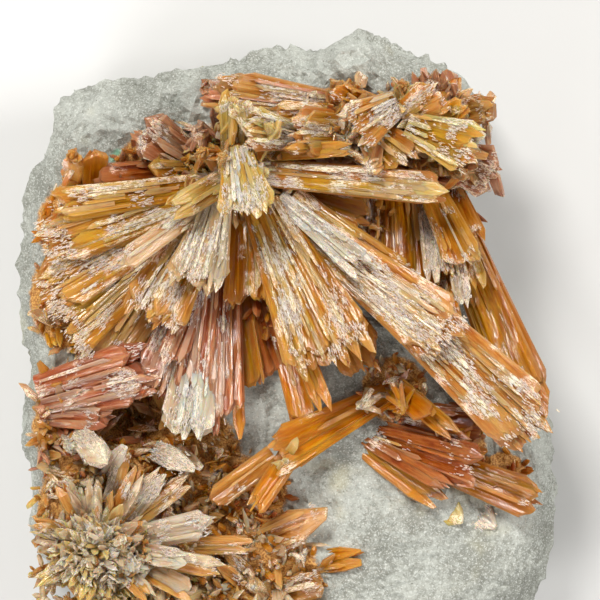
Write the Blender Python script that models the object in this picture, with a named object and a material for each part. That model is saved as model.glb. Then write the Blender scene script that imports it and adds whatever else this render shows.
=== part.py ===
"""Creedite on matrix: sprays of bladed crystals grown on a piece of pale rock, lying on the rock's flat back.

Metres, +Z up. The origin is under the middle of the specimen, on the surface it rests on. The crystals face
+Z, +Y is the top edge of the specimen as it is shown, and +X its right side. Tables of places are in
millimetres.
"""

import math
import random
from collections import namedtuple

import bmesh
import bpy
import numpy as np
from mathutils import Matrix, Vector, noise

MM = 0.001
# The middle of the whole specimen in the tables' coordinates, which the origin is moved to
MIDDLE_X = -0.95
MIDDLE_Y = -4.23
# The gap left between one spray and the next, and between a spray and the rock
GAP = 0.3
# A crystal's end is a chisel: its length by the crystal's width and thickness, and its edge by the width
CHISEL_BY_WIDTH = 0.4
CHISEL_BY_THICKNESS = 0.3
CHISEL_EDGE = 0.55
# In a fan, how far neighbours overlap, step up and down, tilt in degrees, and differ in size
OVERLAP = 1.3
STEP = 0.24
TILT = 10
UNEVENNESS = 0.1

# One fan of side-by-side prisms. root and tip are the middles of its two ends, spread its width at each end.
Fan = namedtuple("Fan", "root tip spread thick count stagger roll", defaults=(1, 0.0, 0))

# The rock's outline seen from above, clockwise from its upper left corner
ROCK_OUTLINE = [
    (-22.7, 20.8), (-17.5, 22.3), (-14.0, 23.4), (-10.0, 24.3), (-5.0, 24.8), (-1.0, 25.3), (2.0, 25.1),
    (2.8, 26.4), (5.2, 27.2), (7.0, 27.0), (8.8, 25.7), (10.0, 25.0), (13.0, 24.4), (16.0, 23.8), (17.6, 22.6),
    (18.0, 20.4), (17.6, 17.0), (17.0, 12.0), (15.8, 7.0), (16.4, 2.0), (18.4, -2.8), (20.4, -5.0),
    (22.6, -8.2), (24.6, -12.0), (26.0, -18.0), (25.8, -25.0), (23.4, -31.0), (17.0, -34.0), (8.0, -35.4),
    (-4.0, -35.0), (-14.0, -34.2), (-22.0, -32.0), (-26.4, -26.0), (-27.8, -17.0), (-27.6, -6.0),
    (-28.0, 4.0), (-27.0, 13.0), (-25.0, 18.6),
]
ROCK_MIDDLE_Y = -4.0
ROCK_FACE = 12.0
# How much of the rough back is sawn off to leave it flat
BACK_ALLOWANCE = 0.8
# How far down the round of a sphere, pole to pole, the rock's face and then its wall reach
FACE_ENDS = 0.40
WALL_ENDS = 0.66
# The face's rounded rim, out of the whole reach, how much it drops, and how far the wall leans in
RIM_STARTS = 0.86
RIM_ENDS = 0.985
RIM_DROP = 2.6
WALL_PULL = 0.10
FACE_ROUGHNESS = 0.7
WALL_ROUGHNESS = 1.4
ROCK_TRIANGLES = 820
# Rises and hollows of the rock's face: x, y, radius, height
ROCK_FEATURES = [
    (-5.0, 17.0, 11.0, 1.4),
    (5.4, 24.6, 2.6, 2.2),
    (-14.0, 20.5, 5.0, 1.2),
    (-20.5, 18.0, 3.0, -1.0),
    (-15.3, 20.7, 1.0, -0.8),
    (-13.1, 20.0, 0.7, -0.8),
    (-17.0, -11.8, 2.4, -5.0),
    (1.8, -16.2, 0.9, -0.9),
    (-3.0, -20.0, 1.8, -2.2),
    (11.0, -28.0, 7.0, 1.2),
    (0.0, -29.5, 1.6, -2.4),
]
# Pits in the rock that hold the middles of the sprays: x, y, radius, floor
PITS = [
    (-6.6, 12.6, 4.6, 10.4), (12.8, 17.4, 4.0, 10.4), (9.2, 18.0, 2.6, 11.0), (-20.0, -24.6, 3.6, 9.6),
    (12.2, 11.8, 2.8, 10.0), (-8.2, 4.0, 2.6, 10.4),
]
PIT_SIDES = 9
PIT_FLOOR = 0.7
# The sprays, most prominent first: a later one is cut back where it meets an earlier one
SPRAYS = {
    "centre_spray": [
        # the broad front blade and the single crystal along its left edge
        Fan((-3.8, 9.5, 15.0), (3.9, -6.8, 22.0), (3.4, 8.2), 2.2, 5, 1.6, 0),
        Fan((-3.2, 4.0, 16.4), (2.5, -11.0, 20.0), (1.8, 1.8), 1.4),
        # the long right-hand blade, in four layers
        Fan((-1.0, 10.0, 15.0), (24.3, -14.0, 21.0), (3.0, 6.2), 2.4, 4, 1.5, 0),
        Fan((-2.0, 10.5, 16.4), (6.5, 3.1, 21.2), (2.0, 2.6), 1.4, 2, 1.4, 0),
        Fan((-0.8, 10.6, 14.8), (12.0, 1.2, 18.6), (1.8, 2.8), 1.8, 2, 2.0, 0),
        Fan((0.5, 7.0, 16.0), (15.6, -4.4, 22.2), (3.0, 5.6), 2.0, 3, 1.5, 0),
        # the darker blades under the long ones
        Fan((-4.6, 11.4, 13.8), (7.4, -7.8, 16.0), (2.4, 4.6), 1.8, 2, 1.5, 0),
        # the dark fan in the hollow under the cross bar
        Fan((-3.0, 11.5, 13.6), (7.6, 7.6, 15.4), (2.0, 4.0), 1.6, 2, 1.5, 0),
        # the pale blades at the lower left
        Fan((-9.4, 9.6, 17.0), (-18.0, 3.5, 21.2), (1.8, 2.0), 1.2),
        Fan((-8.3, 9.8, 16.4), (-10.6, 1.0, 21.8), (2.6, 5.4), 1.8, 3, 1.0, 0),
        Fan((-9.5, 8.5, 15.4), (-15.3, -2.4, 19.2), (3.0, 6.0), 1.8, 3, 0.8, 0),
        # the golden blades that run to the left edge
        Fan((-7.0, 12.0, 15.0), (-25.6, 9.3, 18.4), (2.0, 3.2), 1.6, 2, 2.0, 0),
        Fan((-8.5, 11.2, 14.8), (-26.4, 5.4, 17.6), (2.5, 4.4), 1.8, 2, 2.4, 0),
        Fan((-9.0, 10.2, 14.4), (-26.4, 0.4, 16.4), (2.5, 4.8), 1.8, 3, 2.0, 0),
        Fan((-10.0, 8.6, 14.0), (-24.4, -3.6, 15.8), (3.0, 5.6), 1.8, 2, 2.0, 0),
        Fan((-9.4, 9.4, 13.4), (-20.6, -7.0, 14.6), (2.8, 5.0), 1.8, 2, 2.0, 0),
        # the stubs that point at the viewer
        Fan((-6.6, 12.4, 11.2), (-5.9, 11.2, 26.0), (4.6, 4.6), 4.2, 1, 0.0, 20),
        Fan((-5.4, 12.8, 11.2), (-3.9, 12.6, 25.2), (2.8, 2.8), 2.8, 1, 0.0, 50),
        Fan((-6.8, 12.8, 11.4), (-6.3, 19.9, 24.0), (2.5, 2.5), 1.8, 1, 0.0, 10),
        Fan((-7.4, 13.2, 11.4), (-10.0, 15.0, 22.0), (2.2, 2.2), 1.6, 1, 0.0, 30),
        Fan((-7.0, 12.4, 16.4), (-12.6, 8.9, 23.0), (2.4, 2.4), 1.8, 1, 0.0, -15),
        Fan((-6.0, 14.0, 12.4), (-2.0, 17.6, 23.4), (2.6, 2.6), 2.2, 1, 0.0, 0),
        Fan((-7.2, 13.2, 15.6), (-7.8, 14.3, 24.4), (2.0, 2.0), 1.8, 1, 0.0, 15),
        # the bars that cross to the right
        Fan((-4.5, 12.9, 15.0), (14.6, 10.9, 22.3), (2.4, 2.8), 2.0, 3, 1.5, 0),
        Fan((-5.0, 14.6, 15.0), (5.0, 15.1, 20.8), (1.4, 1.4), 1.4),
    ],
    "corner_spray": [
        Fan((13.0, 16.6, 12.6), (14.5, 15.4, 25.2), (5.6, 5.6), 4.0, 1, 0.0, 12),
        Fan((12.2, 17.8, 12.6), (12.2, 19.8, 24.2), (4.4, 4.4), 3.0, 1, 0.0, -8),
        Fan((13.8, 17.8, 12.8), (15.6, 19.2, 23.2), (2.6, 2.6), 1.9, 1, 0.0, 30),
        Fan((11.4, 18.2, 12.8), (10.0, 22.2, 20.8), (1.9, 1.9), 1.7),
        Fan((14.2, 18.2, 12.8), (19.7, 19.6, 19.0), (2.8, 2.8), 2.2),
        Fan((13.0, 18.6, 12.6), (11.8, 22.8, 17.6), (1.7, 1.7), 1.4),
        Fan((13.4, 18.6, 12.6), (14.0, 23.0, 17.8), (1.7, 1.7), 1.4),
        Fan((13.9, 18.4, 12.6), (15.7, 21.9, 18.2), (1.8, 1.8), 1.4),
        # the fringe of thin crystals, and the scalloped fan on the rock's edge
        Fan((14.2, 16.4, 13.6), (18.5, 15.6, 19.4), (1.2, 2.8), 0.9, 3, 1.0, 0),
        Fan((13.6, 14.8, 12.4), (19.8, 12.4, 17.4), (2.4, 4.4), 1.6, 3, 0.6, 0),
        Fan((13.4, 15.2, 13.6), (16.6, 11.9, 21.8), (2.6, 2.6), 1.8, 1, 0.0, 20),
        Fan((12.2, 15.6, 13.4), (14.6, 12.2, 20.4), (2.4, 2.4), 1.8),
    ],
    "upper_bars": [
        Fan((9.4, 18.6, 13.2), (-9.6, 21.2, 19.0), (1.8, 3.6), 2.0, 3, 1.6, 0),
        Fan((8.4, 17.8, 13.2), (-5.6, 19.4, 17.4), (1.6, 1.6), 1.6),
        Fan((8.6, 17.0, 13.6), (-1.6, 16.6, 21.4), (2.4, 4.2), 1.8, 3, 1.6, 0),
        Fan((9.6, 19.0, 13.4), (2.6, 21.3, 18.6), (1.6, 2.0), 1.6),
        Fan((8.6, 17.4, 13.0), (6.9, 17.9, 25.2), (4.0, 4.0), 3.2, 1, 0.0, 35),
        Fan((8.6, 16.2, 13.4), (6.9, 12.6, 24.0), (3.4, 3.4), 2.4, 1, 0.0, 10),
    ],
    "right_blades": [
        Fan((11.4, 13.0, 12.0), (13.2, -2.0, 15.6), (5.0, 7.4), 2.4, 4, 1.5, 0),
        Fan((9.4, 12.6, 12.0), (9.4, -1.0, 14.2), (4.0, 4.8), 2.0, 2, 1.5, 0),
        Fan((12.8, 12.0, 13.2), (16.9, 2.9, 20.2), (2.0, 3.0), 1.4, 2, 0.8, 0),
        Fan((12.6, 10.0, 13.0), (13.3, 1.7, 18.6), (1.5, 1.5), 1.1),
        Fan((13.4, 9.0, 13.2), (14.8, 2.4, 18.2), (1.3, 1.3), 1.0),
        Fan((13.3, 6.0, 13.0), (15.2, -3.3, 17.8), (2.3, 2.3), 1.2),
        Fan((15.2, 6.6, 14.0), (16.4, -0.6, 19.8), (1.6, 1.6), 1.2),
        Fan((14.6, 10.0, 11.6), (23.4, -11.5, 17.2), (2.8, 4.4), 2.4, 3, 1.5, 0),
        Fan((15.0, 10.4, 12.0), (18.1, 1.2, 17.8), (1.6, 1.6), 1.6),
        Fan((14.4, 12.6, 12.0), (17.2, 5.8, 17.4), (2.2, 2.8), 1.8, 2, 1.0, 0),
    ],
    "red_spray": [
        Fan((-8.6, 4.6, 12.4), (-10.2, -13.4, 17.4), (3.2, 6.2), 2.6, 3, 2.0, 0),
        Fan((-9.6, 4.0, 12.0), (-15.0, -10.4, 16.0), (2.6, 4.8), 2.0, 2, 1.5, 0),
        Fan((-6.2, 4.0, 11.8), (-2.4, -8.6, 13.4), (2.6, 4.0), 1.6, 2, 1.5, 0),
        Fan((-7.2, 4.4, 12.4), (-7.1, -11.8, 17.4), (2.2, 2.8), 2.0, 2, 1.5, 0),
        Fan((-7.0, 3.4, 12.2), (-6.0, -14.0, 15.4), (1.3, 1.3), 1.3),
        Fan((-6.8, 3.8, 12.2), (-4.4, -9.4, 14.4), (2.2, 2.2), 1.4),
        Fan((-9.8, -2.0, 12.2), (-11.6, -13.8, 19.4), (2.6, 4.0), 2.4, 2, 0.5, 0),
        Fan((-9.6, 3.0, 12.8), (-13.2, -6.8, 18.2), (1.8, 2.6), 1.6, 2, 0.8, 0),
    ],
    "orange_blades": [
        Fan((9.8, -9.0, 12.4), (-3.4, -16.0, 16.8), (2.0, 4.2), 1.8, 3, 1.5, 0),
        Fan((0.4, -13.4, 13.4), (-5.3, -22.0, 18.2), (2.2, 2.0), 1.6, 2, 1.5, 0),
        Fan((-1.8, -16.4, 14.4), (-0.2, -13.9, 18.0), (1.0, 1.0), 0.9),
        Fan((-2.6, -17.4, 14.4), (-0.9, -15.6, 18.0), (1.0, 1.0), 0.9),
        Fan((-2.4, -2.4, 12.0), (0.6, -12.8, 15.4), (1.8, 2.4), 1.4, 2, 1.0, 0),
        Fan((-2.6, -15.6, 15.4), (-9.4, -20.6, 15.6), (2.2, 2.2), 1.6),
        # the small star of crystals at the blades' upper end
        Fan((9.4, -8.8, 12.6), (13.2, -12.0, 17.6), (2.2, 2.2), 1.2),
        Fan((9.8, -8.6, 12.6), (10.5, -11.6, 17.6), (1.4, 1.4), 1.2),
        Fan((9.6, -8.6, 12.6), (15.6, -13.6, 16.6), (1.8, 1.8), 1.2),
        Fan((8.0, -9.6, 13.0), (5.3, -10.9, 17.4), (2.2, 2.2), 1.3),
    ],
    "left_red_blades": [
        Fan((-26.0, -9.8, 11.6), (-14.4, -6.6, 16.6), (4.0, 5.4), 3.0, 3, 1.2, 0),
        Fan((-26.0, -11.4, 11.4), (-18.8, -11.4, 14.8), (2.4, 3.0), 2.2, 2, 0.8, 0),
    ],
    "dark_red_prisms": [
        Fan((5.0, -14.0, 10.8), (14.2, -20.6, 14.6), (1.6, 2.6), 1.8, 2, 1.0, 0),
        Fan((5.8, -13.6, 11.0), (15.0, -18.9, 16.4), (1.6, 1.6), 1.6),
        Fan((7.2, -13.6, 11.2), (18.6, -17.2, 17.2), (2.0, 4.0), 1.8, 3, 1.2, 0),
        Fan((9.0, -14.6, 11.0), (24.6, -20.4, 15.4), (2.0, 3.6), 2.0, 2, 1.2, 0),
        Fan((8.6, -12.6, 11.2), (17.0, -15.0, 15.4), (2.4, 2.4), 1.4),
        Fan((8.2, -11.6, 11.0), (19.6, -12.4, 13.6), (2.6, 3.6), 1.6, 2, 1.0, 0),
    ],
    "pale_spray": [
        Fan((-20.0, -24.2, 11.0), (-16.0, -17.0, 17.2), (1.8, 1.8), 1.5),
        Fan((-20.6, -24.0, 11.0), (-20.8, -18.0, 16.8), (1.5, 1.5), 1.3),
        Fan((-19.6, -24.2, 11.0), (-13.7, -17.2, 15.6), (2.0, 2.0), 1.5),
        Fan((-19.4, -24.4, 11.2), (-11.2, -18.2, 15.8), (1.5, 1.5), 1.3),
        Fan((-19.0, -24.6, 11.2), (-8.6, -22.2, 17.0), (2.2, 2.8), 1.6, 2, 1.0, 0),
        Fan((-18.6, -24.8, 11.2), (-4.8, -24.6, 15.4), (1.8, 1.8), 1.4),
        Fan((-19.0, -25.0, 11.2), (-11.4, -26.0, 17.0), (1.9, 1.9), 1.5),
        Fan((-19.0, -25.2, 11.0), (-7.6, -27.0, 15.8), (1.9, 1.9), 1.5),
        Fan((-19.4, -25.4, 11.0), (-10.6, -29.4, 15.8), (2.1, 2.1), 1.6),
        Fan((-19.8, -25.6, 11.0), (-14.8, -30.0, 16.6), (1.7, 1.7), 1.5),
        Fan((-20.6, -25.6, 11.0), (-21.8, -30.4, 16.4), (1.7, 1.7), 1.5),
        Fan((-20.2, -24.2, 11.0), (-17.6, -14.9, 14.8), (1.6, 1.6), 1.3),
        Fan((-21.0, -24.2, 11.0), (-24.0, -18.6, 15.6), (1.6, 1.6), 1.4),
        Fan((-21.2, -24.6, 11.0), (-27.0, -22.4, 14.6), (1.7, 1.7), 1.4),
        Fan((-21.0, -25.2, 11.0), (-26.4, -28.4, 14.6), (1.7, 1.7), 1.4),
        Fan((-20.0, -25.6, 11.0), (-17.4, -33.4, 14.2), (1.9, 1.9), 1.5),
        # the mound at its middle
        Fan((-20.4, -24.4, 10.8), (-20.8, -23.2, 18.8), (2.8, 2.8), 2.6, 1, 0.0, 15),
        Fan((-19.6, -24.6, 10.8), (-17.2, -24.2, 18.4), (2.6, 2.6), 2.4, 1, 0.0, 40),
        Fan((-20.4, -25.0, 10.8), (-21.4, -26.8, 18.2), (2.6, 2.6), 2.4, 1, 0.0, 70),
        Fan((-19.6, -25.0, 10.8), (-16.0, -27.2, 17.8), (2.4, 2.4), 2.2, 1, 0.0, 25),
    ],
    "upper_left_crystals": [
        Fan((-10.6, 13.8, 12.6), (-16.2, 17.2, 18.2), (2.6, 4.0), 2.2, 3, 1.0, 0),
        Fan((-10.8, 13.4, 12.8), (-15.4, 13.4, 17.2), (2.6, 2.6), 1.6),
        Fan((-10.4, 14.6, 12.8), (-9.9, 18.2, 18.8), (2.4, 2.4), 1.8),
        Fan((-11.0, 13.4, 12.6), (-21.0, 12.4, 15.2), (2.2, 2.2), 1.6),
    ],
    "left_edge_crystals": [
        Fan((-22.6, 11.4, 11.0), (-22.8, 15.4, 17.4), (2.0, 2.8), 1.6, 2, 0.8, 0),
    ],
    "pointed_crystal": [Fan((-4.6, -24.8, 10.8), (2.7, -21.4, 15.6), (3.8, 3.8), 2.0)],
    "small_orange_crystal": [Fan((0.2, -26.8, 10.4), (6.2, -25.8, 13.8), (2.4, 2.4), 1.5)],
    "frosted_crystal_left": [
        Fan((-21.3, -15.4, 10.0), (-20.6, -15.0, 18.2), (3.0, 3.0), 3.0, 1, 0.0, 30),
        Fan((-22.6, -15.0, 10.0), (-23.4, -14.6, 16.8), (2.0, 2.0), 1.8),
    ],
    "frosted_crystal_middle": [
        Fan((-14.4, -15.4, 10.2), (-12.2, -16.2, 17.2), (3.2, 3.2), 2.2, 1, 0.0, 10),
        Fan((-12.8, -15.0, 10.6), (-9.9, -16.9, 14.8), (1.8, 1.8), 1.6),
    ],
    "pale_crystal_near": [Fan((14.8, -20.9, 9.6), (15.9, -21.8, 13.4), (2.0, 2.0), 1.6)],
    "pale_crystal_far": [Fan((17.8, -21.3, 9.6), (19.0, -22.4, 13.2), (2.4, 2.4), 1.8)],
    "bottom_crystals": [
        Fan((-3.2, -30.0, 10.0), (2.6, -28.2, 14.2), (2.8, 2.8), 1.8),
        Fan((-3.4, -30.2, 10.0), (-5.2, -27.8, 15.0), (2.4, 2.4), 1.8),
        Fan((-3.2, -30.4, 10.0), (1.8, -33.4, 13.4), (2.6, 2.6), 1.8),
        Fan((-3.6, -30.2, 10.0), (-8.4, -32.6, 13.8), (2.4, 2.4), 1.8),
        Fan((-3.8, -29.6, 10.0), (-8.2, -25.8, 14.0), (2.4, 2.4), 1.6),
    ],
}
# Colour and roughness of each part
LOOKS = {
    "matrix": ((0.52, 0.54, 0.48), 0.9),
    "centre_spray": ((0.62, 0.36, 0.14), 0.35),
    "corner_spray": ((0.78, 0.56, 0.24), 0.35),
    "upper_bars": ((0.52, 0.27, 0.14), 0.4),
    "right_blades": ((0.50, 0.24, 0.05), 0.25),
    "red_spray": ((0.45, 0.17, 0.08), 0.35),
    "orange_blades": ((0.62, 0.24, 0.03), 0.2),
    "left_red_blades": ((0.55, 0.26, 0.16), 0.45),
    "dark_red_prisms": ((0.40, 0.12, 0.03), 0.15),
    "pale_spray": ((0.66, 0.52, 0.38), 0.45),
    "upper_left_crystals": ((0.46, 0.24, 0.16), 0.4),
}
SINGLE_CRYSTAL_LOOK = ((0.66, 0.36, 0.14), 0.3)


def frame_of(axis, roll):
    """Unit vectors across and out of a blade's broad face, turned about its axis by roll degrees."""
    up = Vector((0, 0, 1)) if abs(axis.z) < 0.8 else Vector((0, 1, 0))
    across = axis.cross(up).normalized()
    across = Matrix.Rotation(math.radians(roll), 3, axis) @ across
    return across, across.cross(axis)


def add_prism(bm, root, tip, width, thick, roll, grow=0.0):
    """A flattened six-sided crystal with a chisel end. grow makes it that much larger on every side."""
    axis = (tip - root).normalized()
    across, out = frame_of(axis, roll)
    width += 2 * grow
    thick += 2 * grow
    length = (tip - root).length + 2 * grow
    shaft = length - min(CHISEL_BY_WIDTH * width + CHISEL_BY_THICKNESS * thick, 0.4 * length)
    flat_side_out = Matrix.Rotation(math.radians(30), 4, "Z")
    verts = bmesh.ops.create_cone(
        bm, cap_ends=True, segments=6, radius1=0.5, radius2=0.5, depth=shaft, matrix=flat_side_out
    )["verts"]
    bmesh.ops.scale(bm, verts=verts, vec=(width, thick / math.cos(math.radians(30)), 1))
    bmesh.ops.translate(bm, verts=verts, vec=(0, 0, shaft / 2))
    ends = {face for vert in verts for face in vert.link_faces if len(face.verts) == 6}
    shoulder = max(ends, key=lambda face: face.calc_center_median().z)
    raised = bmesh.ops.extrude_face_region(bm, geom=[shoulder])["geom"]
    bmesh.ops.delete(bm, geom=[shoulder], context="FACES_ONLY")
    chisel = [item for item in raised if isinstance(item, bmesh.types.BMVert)]
    for vert in chisel:
        vert.co = Vector((math.copysign(CHISEL_EDGE * width / 2, vert.co.x), 0, length))
    place = Matrix((across, out, axis)).transposed().to_4x4()
    place.translation = root - axis * grow
    bmesh.ops.transform(bm, matrix=Matrix.Scale(MM, 4) @ place, verts=verts + chisel)
    bmesh.ops.remove_doubles(bm, verts=chisel, dist=0.01 * MM)


def add_object(name, bm, collection):
    bmesh.ops.recalc_face_normals(bm, faces=bm.faces)
    mesh = bpy.data.meshes.new(name)
    bm.to_mesh(mesh)
    bm.free()
    collection.objects.link(bpy.data.objects.new(name, mesh))


def prisms_of(fan, dice):
    """The root, tip, width, thickness and roll of each prism in a fan."""
    root, tip = Vector(fan.root), Vector(fan.tip)
    if fan.count == 1:
        yield root, tip, fan.spread[1], fan.thick, fan.roll
        return
    axis = (tip - root).normalized()
    across, out = frame_of(axis, fan.roll)
    for index in range(fan.count):
        place = (index + 0.5) / fan.count - 0.5
        step = STEP * fan.thick * (1 if index % 2 else -1)
        start = root + across * place * fan.spread[0]
        end = tip + across * place * fan.spread[1] + out * step - axis * fan.stagger * dice.random()
        width = OVERLAP * fan.spread[1] / fan.count * dice.uniform(1 - UNEVENNESS, 1 + UNEVENNESS)
        thick = fan.thick * dice.uniform(1 - UNEVENNESS, 1 + UNEVENNESS)
        yield start, end, width, thick, fan.roll + dice.uniform(-TILT, TILT)


def add_collection(name):
    collection = bpy.data.collections.new(name)
    bpy.context.scene.collection.children.link(collection)
    return collection


def add_crystals(name, fans):
    """A collection of all the separate crystals of a spray, each an object."""
    collection = add_collection(name)
    dice = random.Random(name)
    for fan in fans:
        for crystal in prisms_of(fan, dice):
            bm = bmesh.new()
            add_prism(bm, *crystal)
            add_object(f"{name}.crystal", bm, collection)
    return collection


def add_room(name, fans):
    """A collection with the space that each fan of a spray needs: its convex hull, with the gap around it."""
    collection = add_collection(f"{name}.room")
    dice = random.Random(name)
    for fan in fans:
        bm = bmesh.new()
        for crystal in prisms_of(fan, dice):
            add_prism(bm, *crystal, GAP)
        corners = [vert.co.copy() for vert in bm.verts]
        bm.clear()
        for corner in corners:
            bm.verts.new(corner)
        hull = bmesh.ops.convex_hull(bm, input=bm.verts)
        spare = [item for item in hull["geom_interior"] if isinstance(item, bmesh.types.BMVert)]
        bmesh.ops.delete(bm, geom=spare, context="VERTS")
        add_object(f"{name}.room", bm, collection)
    return collection


def add_boolean(target, operation, operands):
    cut = target.modifiers.new(operation.title(), "BOOLEAN")
    cut.operation = operation
    cut.operand_type = "COLLECTION"
    cut.collection = operands
    cut.solver = "EXACT"


def keep_largest_island(bm):
    """Deletes all but the largest connected piece, such as a tip that a neighbour cut off."""
    left = set(bm.verts)
    islands = []
    while left:
        island, frontier = set(), [left.pop()]
        while frontier:
            vert = frontier.pop()
            island.add(vert)
            linked = {edge.other_vert(vert) for edge in vert.link_edges} & left
            left -= linked
            frontier.extend(linked)
        islands.append(island)
    islands.sort(key=len)
    small = [vert for island in islands[:-1] for vert in island]
    bmesh.ops.delete(bm, geom=small, context="VERTS")


def settle(target, name, collection):
    """A plain mesh object with the target's modifiers applied and only its largest piece kept."""
    bpy.context.view_layer.update()
    graph = bpy.context.evaluated_depsgraph_get()
    mesh = bpy.data.meshes.new_from_object(target.evaluated_get(graph))
    bm = bmesh.new()
    bm.from_mesh(mesh)
    keep_largest_island(bm)
    bm.to_mesh(mesh)
    bm.free()
    collection.objects.link(bpy.data.objects.new(name, mesh))


def remove_collection(collection):
    for piece in list(collection.objects):
        bpy.data.objects.remove(piece)
    bpy.data.collections.remove(collection)


def outline_radius(angle):
    """The rock's reach from its middle in a direction, from its outline with the corners eased."""
    x, y = np.array(ROCK_OUTLINE).T
    angles, reach = np.arctan2(y - ROCK_MIDDLE_Y, x), np.hypot(x, y - ROCK_MIDDLE_Y)
    order = np.argsort(angles)
    nearby = angle + np.radians([-2, -1, 0, 1, 2])
    return float(np.mean(np.interp(nearby, angles[order], reach[order], period=2 * math.pi)))


def rock_face_height(x, y):
    """Height of the rock's upper face, in millimetres."""
    height = ROCK_FACE
    for across, along, radius, rise in ROCK_FEATURES:
        distance = ((x - across) ** 2 + (y - along) ** 2) / (2 * radius**2)
        height += rise * math.exp(-distance)
    return height


def rock_point(direction):
    """Where a point of the unit sphere lands on the rock: face, wall or back."""
    polar = math.acos(max(-1.0, min(1.0, direction.z))) / math.pi
    angle = math.atan2(direction.y, direction.x)
    reach = outline_radius(angle)
    drop = RIM_DROP
    if polar < FACE_ENDS:
        share, level = RIM_ENDS * polar / FACE_ENDS, 1.0
        drop *= max(0.0, (share - RIM_STARTS) / (RIM_ENDS - RIM_STARTS)) ** 2
    elif polar < WALL_ENDS:
        level = 1 - (polar - FACE_ENDS) / (WALL_ENDS - FACE_ENDS)
        share = 1.0 - WALL_PULL * (1 - level) ** 2 - (1 - RIM_ENDS) * level
    else:
        share, level = (1 - WALL_PULL) * (1 - polar) / (1 - WALL_ENDS), 0.0
    x = share * reach * math.cos(angle)
    y = share * reach * math.sin(angle) + ROCK_MIDDLE_Y
    z = (rock_face_height(x, y) - drop + BACK_ALLOWANCE) * level - BACK_ALLOWANCE
    place = Vector((x, y, z))
    rough = noise.noise(place * 0.16) + 0.5 * noise.noise(place * 0.45)
    if level == 1:
        place.z += FACE_ROUGHNESS * rough
    elif level > 0:
        place += WALL_ROUGHNESS * rough * Vector((math.cos(angle), math.sin(angle), 0))
    return place * MM


def add_rock(collection):
    """The rock as a faceted solid with a flat back."""
    bm = bmesh.new()
    bmesh.ops.create_icosphere(bm, subdivisions=5, radius=1)
    for vert in bm.verts:
        vert.co = rock_point(vert.co.normalized())
    mesh = bpy.data.meshes.new("rock")
    bm.to_mesh(mesh)
    triangles = len(bm.faces)
    bm.free()
    rock = bpy.data.objects.new("rock", mesh)
    collection.objects.link(rock)
    fewer = rock.modifiers.new("Decimate", "DECIMATE")
    fewer.ratio = ROCK_TRIANGLES / triangles
    return rock


def add_saw():
    """A collection with the block whose top is the plane that the rock's back is sawn to."""
    collection = add_collection("saw")
    bm = bmesh.new()
    size = 200 * MM
    bmesh.ops.create_cube(bm, size=size, matrix=Matrix.Translation((0, 0, -size / 2)))
    add_object("saw", bm, collection)
    return collection


def add_pits():
    """A collection of the wells that make room for the middles of the sprays."""
    collection = add_collection("pits")
    for x, y, radius, floor in PITS:
        bm = bmesh.new()
        depth = 2 * ROCK_FACE
        place = Matrix.Translation((x, y, floor + depth / 2))
        floor_radius = PIT_FLOOR * radius
        bmesh.ops.create_cone(
            bm, cap_ends=True, segments=PIT_SIDES, radius1=floor_radius, radius2=radius, depth=depth, matrix=place
        )
        bm.transform(Matrix.Scale(MM, 4))
        add_object("pit", bm, collection)
    return collection


def give_look(piece, colour, roughness):
    material = bpy.data.materials.new(piece.name)
    material.use_nodes = True
    shader = material.node_tree.nodes["Principled BSDF"]
    shader.inputs["Base Color"].default_value = (*colour, 1)
    shader.inputs["Roughness"].default_value = roughness
    piece.data.materials.clear()
    piece.data.materials.append(material)


def build_spray(name, fans, earlier, specimen):
    """Joins a spray's crystals into one solid, less the room that the earlier sprays need."""
    crystals = add_crystals(name, fans)
    first = crystals.objects[0]
    crystals.objects.unlink(first)
    bpy.context.scene.collection.objects.link(first)
    if crystals.objects:
        add_boolean(first, "UNION", crystals)
    for room in earlier:
        add_boolean(first, "DIFFERENCE", room)
    settle(first, name, specimen)
    bpy.data.objects.remove(first)
    remove_collection(crystals)


def build_matrix(rooms, specimen):
    """The rock, sawn flat behind, with room for the sprays."""
    rock = add_rock(bpy.context.scene.collection)
    for room in rooms:
        add_boolean(rock, "DIFFERENCE", room)
    settle(rock, "matrix", specimen)
    bpy.data.objects.remove(rock)


def build_specimen():
    for old in list(bpy.data.objects):
        bpy.data.objects.remove(old)
    specimen = add_collection("creedite_specimen")
    rooms = []
    for name, fans in SPRAYS.items():
        build_spray(name, fans, rooms, specimen)
        rooms.append(add_room(name, fans))
    rooms += [add_pits(), add_saw()]
    build_matrix(rooms, specimen)
    for room in rooms:
        remove_collection(room)
    for piece in specimen.objects:
        piece.data.transform(Matrix.Translation((-MIDDLE_X * MM, -MIDDLE_Y * MM, 0)))
        give_look(piece, *LOOKS.get(piece.name, SINGLE_CRYSTAL_LOOK))


build_specimen()
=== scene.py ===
"""Creedite on matrix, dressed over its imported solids: sheaves of fine crystals on granular rock."""

import math
import random
from collections import namedtuple

import bpy
import numpy as np
from mathutils import Matrix, Vector, noise


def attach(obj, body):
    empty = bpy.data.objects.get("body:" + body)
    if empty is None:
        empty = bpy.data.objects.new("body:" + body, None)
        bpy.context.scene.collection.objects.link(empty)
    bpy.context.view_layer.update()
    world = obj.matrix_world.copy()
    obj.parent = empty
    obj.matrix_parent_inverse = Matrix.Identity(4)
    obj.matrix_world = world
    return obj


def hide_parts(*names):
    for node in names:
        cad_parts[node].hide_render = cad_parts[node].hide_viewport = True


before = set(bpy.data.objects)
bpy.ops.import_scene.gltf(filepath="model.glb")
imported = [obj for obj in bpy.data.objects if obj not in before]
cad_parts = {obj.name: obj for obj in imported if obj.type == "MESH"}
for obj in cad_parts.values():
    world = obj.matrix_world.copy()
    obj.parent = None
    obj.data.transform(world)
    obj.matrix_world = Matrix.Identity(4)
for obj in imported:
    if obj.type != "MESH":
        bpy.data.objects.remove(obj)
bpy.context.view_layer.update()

MM = 0.001
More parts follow.
